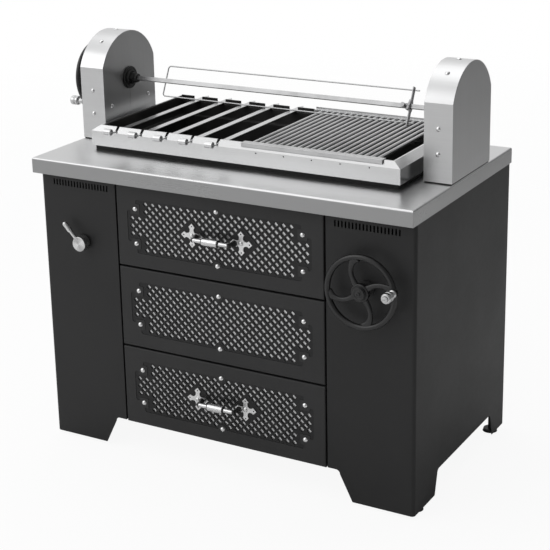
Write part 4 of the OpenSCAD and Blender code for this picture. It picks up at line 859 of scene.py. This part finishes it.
class GRILL_OT_handles(bpy.types.Operator):
    """Turns the drawer handles with their sleeves and posts and polishes their cross plates"""

    bl_idname = "grill.handles"
    bl_label = "Drawer handles"

    def execute(self, context):
        colour = (0.74, 0.742, 0.745)
        polished = brushed_steel("cross_steel", colour, "X", 0.36, 0.000002, 0.02, contrast=0.02)
        dress(polished, "top_handle_crosses", "bottom_handle_crosses", edge=0.0005)
        rubber = moulded("washer_rubber", (0.012, 0.012, 0.012), 0.4)
        cast = cast_enamel("post_black", (0.02, 0.02, 0.02), 0.3)
        for row in ("top", "bottom"):
            body = f"{row}_drawer"
            plate_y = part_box(f"{row}_handle")[1].y
            centre = np.array([CENTRE_X, plate_y - HANDLE_REACH, ROW_Z[row]])
            satin = turned_metal(f"{row}_handle_satin", (0.66, 0.662, 0.665), tuple(centre), "X", 0.24)
            handle_bar(centre).piece(f"{row}_handle_rod", body, "handle_steel", satin, (f"{row}_handle",))
            handle_sleeve(centre).piece(f"{row}_handle_sleeve", body, "handle_steel", satin)
            handle_washers(centre).piece(f"{row}_handle_washers", body, "handle_steel", rubber)
            posts, blocks = Shell(), Shell()
            for side in (-1, 1):
                spot = np.array([CENTRE_X + side * HANDLE_POST, plate_y, ROW_Z[row]])
                posts.take(handle_post(spot - (0, POST_START, 0), centre + (side * BAR_END, 0, 0)))
                blocks.take(foot_block(spot))
            posts.piece(f"{row}_handle_posts", body, "handle_steel", cast)
            blocks.piece(f"{row}_handle_feet", body, "handle_steel", polished)
        return {"FINISHED"}


# Air lever, with the height of its rod over the panel
ROD_HEIGHT = 24.5 * MM


def turned_face(name, colour, origin, roughness=0.24):
    """A face from the lathe: rings round the axis along Y, and a painted highlight: the colour is paler and
    darker in lobes by cos(2a - 0.9) of the angle a round the axis, drawn in place of the streaked sheen
    of the rings."""
    f = Finish(name)
    here = f.place((1, 1, 1), tuple(-c for c in origin))
    x = f.node("ShaderNodeSeparateXYZ", values={0: here}, out="X")
    z = f.node("ShaderNodeSeparateXYZ", values={0: here}, out="Z")
    angle = f.node("ShaderNodeMath", {"operation": "ARCTAN2"}, {0: z, 1: x})
    # Painted highlight: two paler and two darker lobes round the axis, put into the colour
    painted_sheen = f.ramp((angle * 2.0 - 0.9).cosine(), -0.9, 0.9)
    radius = (x * x + z * z) ** 0.5
    rings = (radius * (TAU / 0.0005)).sine()
    return f.set(
        Base_Color=f.blend(painted_sheen, tone(colour, 0.72), tone(colour, 1.1)),
        Metallic=1.0,
        Roughness=f.ramp(painted_sheen, 0.0, 1.0, roughness + 0.05, roughness),
        Normal=f.bump(rings, 0.000006),
    )


def lever_knob():
    """The lever's knob: a drum with a chamfered face, about the lever's axis."""
    profile = [
        (0, 4.5), (20.4, 4.5), (21.6, 5.4), (22, 6.6), (22, 30), (21.6, 30.9), (20.6, 31.4), (0, 31.5),
    ]
    return turned(profile, 72, 0.4 * MM).placed(*LEVER)


def lever_rod():
    """The lever's rod: thin out of the knob, then a thicker finger piece with a half ball at its end."""
    end = np.linspace(0, math.pi / 2, 9)
    thick, ball_at = 7.4, 72.6
    ball = np.stack([thick * np.cos(end), ball_at + thick * np.sin(end)], -1)
    profile = np.concatenate([[(0, 10), (5.4, 10), (5.4, 43.5), (5.7, 45), (7.1, 48), (thick, 49.5)], ball])
    profile[-1, 0] = 0
    a = math.radians(LEVER_TILT)
    along = np.array([-math.sin(a), math.cos(a), 0])
    across = np.array([math.cos(a), math.sin(a), 0])
    axes = np.stack([across, np.cross(along, across), along])
    return turned(profile, 32).placed(np.array([0, 0, ROD_HEIGHT]), axes).placed(*LEVER)


class GRILL_OT_controls(bpy.types.Operator):
    """Turns the air lever's knob and rod and finishes its flap"""

    bl_idname = "grill.controls"
    bl_label = "Air lever"

    def execute(self, context):
        face = turned_face("knob_turned_painted_sheen", (0.64, 0.642, 0.645), tuple(LEVER[0]))
        lever_knob().piece("lever_knob", "air_control", "knob_steel", face, ("air_lever",))
        satin = bright_metal("lever_satin", (0.7, 0.702, 0.705), 0.2)
        lever_rod().piece("lever_rod", "air_control", "knob_steel", satin)
        dress(used_steel("flap_steel", (0.3, 0.3, 0.3)), "damper_flap", edge=0.0003)
        return {"FINISHED"}


# Spit: the hub's length, and how far its axle runs past the wheel's middle
HUB_LENGTH = 32 * MM
AXLE_PAST = 10 * MM


def spit_hub_casting():
    """The black hub: a flange with a raised rim and a groove, a six-sided nut and a round collar on the
    axle, which runs through the tower to the handwheel."""
    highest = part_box("spit_hub")[1]
    origin = np.array([highest.x - HUB_LENGTH, SPIT_WHEEL[0][1], SPIT_WHEEL[0][2]])
    flange = [
        (0, 0), (31, 0), (33.4, 1.2), (34, 2.8), (33.6, 4.6), (32, 5.8), (29.6, 6), (28.6, 5.2), (26, 5),
        (23, 5.4), (21.4, 6.6), (20.6, 9), (20.2, 11.4), (0, 11.4),
    ]
    nut = [(0, 10.5), (19.5, 10.5), (19.5, 19.4), (17.4, 21.2), (0, 21.2)]
    collar = [
        (0, 21), (14.6, 21), (15, 21.6), (15, 24.6), (13.8, 25.4), (13.8, 29.6), (12.8, 31.4), (0, 31.8),
    ]
    axle_end = (SPIT_WHEEL[0][0] - AXLE_PAST - origin[0]) / MM
    axle = [(0, 1), (9, 1), (9, axle_end), (0, axle_end)]
    shell = Shell()
    for profile, steps in ((flange, 64), (nut, 6), (collar, 48), (axle, 32)):
        shell.take(turned(profile, steps))
    return shell.placed(origin, TO_RIGHT)


class GRILL_OT_spit(bpy.types.Operator):
    """Casts the spit's hub and finishes the spit, its fork and the plate and clamp on it"""

    bl_idname = "grill.spit"
    bl_label = "Spit and fork"

    def execute(self, context):
        dress(used_steel("spit_steel", (0.33, 0.331, 0.333), "X", 0.3, 0.2), "spit", edge=0.0005)
        dress(bright_metal("prong_steel", (0.42, 0.422, 0.425), 0.24), "spit_fork", edge=0.0002)
        plate = used_steel("fork_plate_steel", (0.3, 0.3, 0.305), "Z", 0.32)
        dress(plate, "fork_plate", "fork_clamp", edge=0.0004)
        black = cast_enamel("hub_black", (0.012, 0.012, 0.012), 0.4)
        hub = spit_hub_casting()
        hub.piece("spit_hub_casting", "spit_assembly", "cast_black", black, ("spit_hub",), sharp=30)
        return {"FINISHED"}


# Fire and inner works
class GRILL_OT_fire(bpy.types.Operator):
    """Finishes the firebox, the charcoal tray, the skewer rest, the grate and the skewers"""

    bl_idname = "grill.fire"
    bl_label = "Firebox, grate and skewers"

    def execute(self, context):
        dress(soot_black("firebox_black", (0.026, 0.0255, 0.025), 0.12, 0.24), "firebox", edge=0.0005)
        dress(soot_black("tray_black", (0.013, 0.012, 0.011), 0.4), "charcoal_tray")
        dress(soot_black("rest_black", (0.012, 0.012, 0.012), 0.1), "skewer_rest", edge=0.0004)
        dress(used_steel("grate_steel", (0.58, 0.582, 0.585), "Y", 0.3, 0.25), "grate", edge=0.0005)
        blades = used_steel("skewer_steel", (0.6, 0.602, 0.605), "Y", 0.28, 0.2)
        dress(blades, *(f"skewer_{k}" for k in range(1, 6)), edge=0.0005)
        return {"FINISHED"}


class GRILL_OT_inner_works(bpy.types.Operator):
    """Finishes the charcoal lift, the bearings, the drawer boxes and their runners"""

    bl_idname = "grill.inner_works"
    bl_label = "Lift, drawers and bearings"

    def execute(self, context):
        lift = used_steel("lift_steel", (0.34, 0.34, 0.35), "Z", 0.36)
        dress(lift, "lift_carriage", "lift_rack", "lift_guides", "lift_pinion")
        dress(textured_paint("bearing_black", (0.02, 0.02, 0.02), 0.5), "shaft_bearings", edge=0.0004)
        zinc = zinc_plate("zinc_sheet", (0.42, 0.43, 0.44))
        dress(zinc, "ash_pan", "bottom_drawer_box", "runner_channels")
        return {"FINISHED"}


# Stage: the camera's place in metres and its turns in radians, and the floor's radius in metres
CAMERA_AT = (2.08463, -3.53089, 1.97314)
CAMERA_HEADING = -0.51835
CAMERA_PITCH = -0.29131
CAMERA_ROLL = 0.01971
CAMERA_SHIFT = (0.0, -0.14)
FLOOR_RADIUS = 14


def camera_matrix():
    """The camera's right, up and backward directions from its heading, pitch and roll."""
    ch, sh = math.cos(CAMERA_HEADING), math.sin(CAMERA_HEADING)
    cp, sp = math.cos(CAMERA_PITCH), math.sin(CAMERA_PITCH)
    ahead = np.array([sh * cp, ch * cp, sp])
    right = np.array([ch, -sh, 0.0])
    down = np.cross(ahead, right)
    cr, sr = math.cos(CAMERA_ROLL), math.sin(CAMERA_ROLL)
    right, down = cr * right + sr * down, cr * down - sr * right
    m = np.eye(4)
    m[:3, 0], m[:3, 1], m[:3, 2], m[:3, 3] = right, -down, -ahead, CAMERA_AT
    return Matrix(m.tolist())


def lamp(name, at, towards, width, height, power):
    """A soft lamp, width by height in metres, that shines from one point towards another."""
    light = bpy.data.lights.new(name, "AREA")
    light.shape = "RECTANGLE"
    light.size, light.size_y, light.energy = width, height, power
    obj = bpy.data.objects.new(name, light)
    bpy.context.scene.collection.objects.link(obj)
    away = np.array(at, float) - np.array(towards, float)
    away /= np.linalg.norm(away)
    side = np.cross([0, 0, 1.0], away)
    side /= np.linalg.norm(side)
    m = np.eye(4)
    m[:3, 0], m[:3, 1], m[:3, 2], m[:3, 3] = side, np.cross(away, side), away, at
    obj.matrix_world = Matrix(m.tolist())
    return obj


def round_floor():
    """A round floor at z = 0, whose rings lie closest together under the grill."""
    radius = np.linspace(0, 1, 40)[:, None] ** 2 * FLOOR_RADIUS
    angle = np.linspace(0, TAU, 96, endpoint=False)[None, :]
    points = np.stack([radius * np.cos(angle), radius * np.sin(angle), 0 * radius * angle], -1)
    shell = Shell().add(points, False, True)
    mesh = bpy.data.meshes.new("floor")
    mesh.from_pydata(shell.points[0].tolist(), [], shell.faces)
    floor = bpy.data.objects.new("floor", mesh)
    bpy.context.scene.collection.objects.link(floor)
    return floor


class GRILL_OT_stage(bpy.types.Operator):
    """Puts the pale floor, the white room, the soft lamps and the camera round the grill"""

    bl_idname = "grill.stage"
    bl_label = "Stage, lamps and camera"

    def execute(self, context):
        scene = context.scene
        s = scene.grill_stage
        floor = round_floor()
        floor.data.materials.append(self.floor_finish())

        self.white_room(scene, s.sky)
        lamp("key", (-3.0, -3.4, 3.8), (0, -0.1, 0.7), 4.2, 3.0, s.key)
        lamp("fill", (3.6, -1.2, 2.2), (0, 0, 0.6), 2.4, 2.4, s.fill)
        lamp("top", (-0.4, 0.9, 4.2), (0, 0, 0.9), 4.0, 2.6, s.key * 0.5)

        camera = bpy.data.objects.new("camera", bpy.data.cameras.new("camera"))
        scene.collection.objects.link(camera)
        camera.data.sensor_width = 36
        camera.data.lens = s.lens
        camera.data.shift_x, camera.data.shift_y = CAMERA_SHIFT
        camera.data.clip_end = 60
        camera.matrix_world = camera_matrix()
        scene.camera = camera
        scene.view_settings.view_transform = "Standard"
        return {"FINISHED"}

    def white_room(self, scene, sky):
        """An even room that is white to the camera. Its light falls off towards the right, as in a
        studio with a dark wall there: the level follows the ray's own X and Z directions."""
        world = bpy.data.worlds.new("white_room")
        scene.world = world
        world.use_nodes = True
        tree = world.node_tree
        tree.nodes.clear()
        out = tree.nodes.new("ShaderNodeOutputWorld")
        split = tree.nodes.new("ShaderNodeSeparateXYZ")
        tree.links.new(tree.nodes.new("ShaderNodeTexCoord").outputs["Generated"], split.inputs[0])
        aside, upward = Signal(tree, split.outputs[0]), Signal(tree, split.outputs[2])
        even = tree.nodes.new("ShaderNodeBackground")
        shade = ((aside + 0.25) * 1.35).clamped()
        level = (1.0 - shade * 0.88) * (upward * 0.35 + 0.9) * sky
        tree.links.new(level.socket, even.inputs["Strength"])
        white = tree.nodes.new("ShaderNodeBackground")
        white.inputs["Color"].default_value = (1, 1, 1, 1)
        path = tree.nodes.new("ShaderNodeLightPath")
        seen = Signal(tree, path.outputs["Is Camera Ray"])
        glossy = Signal(tree, path.outputs["Is Glossy Ray"])
        through = Signal(tree, path.outputs["Is Transmission Ray"])
        share = (seen + (glossy + through) * 0.06).clamped()
        mix = tree.nodes.new("ShaderNodeMixShader")
        tree.links.new(share.socket, mix.inputs[0])
        tree.links.new(even.outputs[0], mix.inputs[1])
        tree.links.new(white.outputs[0], mix.inputs[2])
        tree.links.new(mix.outputs[0], out.inputs["Surface"])

    def floor_finish(self):
        """Pale matt floor that fades into the white room away from the grill. The camera sees it nearly
        white, and a quarter of the grill's shadow on it."""
        f = Finish("pale_floor")
        reach = f.node("ShaderNodeVectorMath", {"operation": "LENGTH"}, {0: f.place()}, out="Value")
        fade = f.ramp(reach, 2.2, 6.0)
        f.set(Base_Color=(0.9, 0.9, 0.9), Roughness=0.9)
        f.shader.inputs["Specular IOR Level"].default_value = 0.0
        clear = f.tree.nodes.new("ShaderNodeBsdfTransparent")
        mix = f.tree.nodes.new("ShaderNodeMixShader")
        f.tree.links.new(fade.socket, mix.inputs[0])
        glow = f.tree.nodes.new("ShaderNodeEmission")
        seen = f.node("ShaderNodeLightPath", out="Is Camera Ray") * 0.92
        pale = f.tree.nodes.new("ShaderNodeMixShader")
        f.tree.links.new(seen.socket, pale.inputs[0])
        f.tree.links.new(f.shader.outputs[0], pale.inputs[1])
        f.tree.links.new(glow.outputs[0], pale.inputs[2])
        f.tree.links.new(pale.outputs[0], mix.inputs[1])
        f.tree.links.new(clear.outputs[0], mix.inputs[2])
        f.tree.links.new(mix.outputs[0], f.output.inputs["Surface"])
        return f.material


OPERATORS = (
    GRILL_OT_stage, GRILL_OT_sheet_steel, GRILL_OT_cabinet, GRILL_OT_plates, GRILL_OT_handles,
    GRILL_OT_handwheels, GRILL_OT_controls, GRILL_OT_spit, GRILL_OT_fire, GRILL_OT_inner_works,
)


class GRILL_PT_panel(bpy.types.Panel):
    """The grill's finishes and details in the sidebar"""

    bl_idname = "GRILL_PT_panel"
    bl_label = "Mangal grill"
    bl_space_type = "VIEW_3D"
    bl_region_type = "UI"
    bl_category = "Grill"

    def draw(self, context):
        for group in (context.scene.grill_finishes, context.scene.grill_details, context.scene.grill_stage):
            box = self.layout.box()
            for name in group.bl_rna.properties.keys():
                if name not in ("rna_type", "name"):
                    box.prop(group, name)
        for operator in OPERATORS:
            self.layout.operator(operator.bl_idname)


CLASSES = (GrillFinishes, GrillDetails, GrillStage, *OPERATORS, GRILL_PT_panel)


def register():
    for cls in CLASSES:
        bpy.utils.register_class(cls)
    bpy.types.Scene.grill_finishes = bpy.props.PointerProperty(type=GrillFinishes)
    bpy.types.Scene.grill_details = bpy.props.PointerProperty(type=GrillDetails)
    bpy.types.Scene.grill_stage = bpy.props.PointerProperty(type=GrillStage)


def unregister():
    for name in ("grill_finishes", "grill_details", "grill_stage"):
        delattr(bpy.types.Scene, name)
    for cls in reversed(CLASSES):
        bpy.utils.unregister_class(cls)


def main():
    register()
    for operator in OPERATORS:
        family, name = operator.bl_idname.split(".")
        getattr(getattr(bpy.ops, family), name)()


if __name__ == "__main__":
    main()
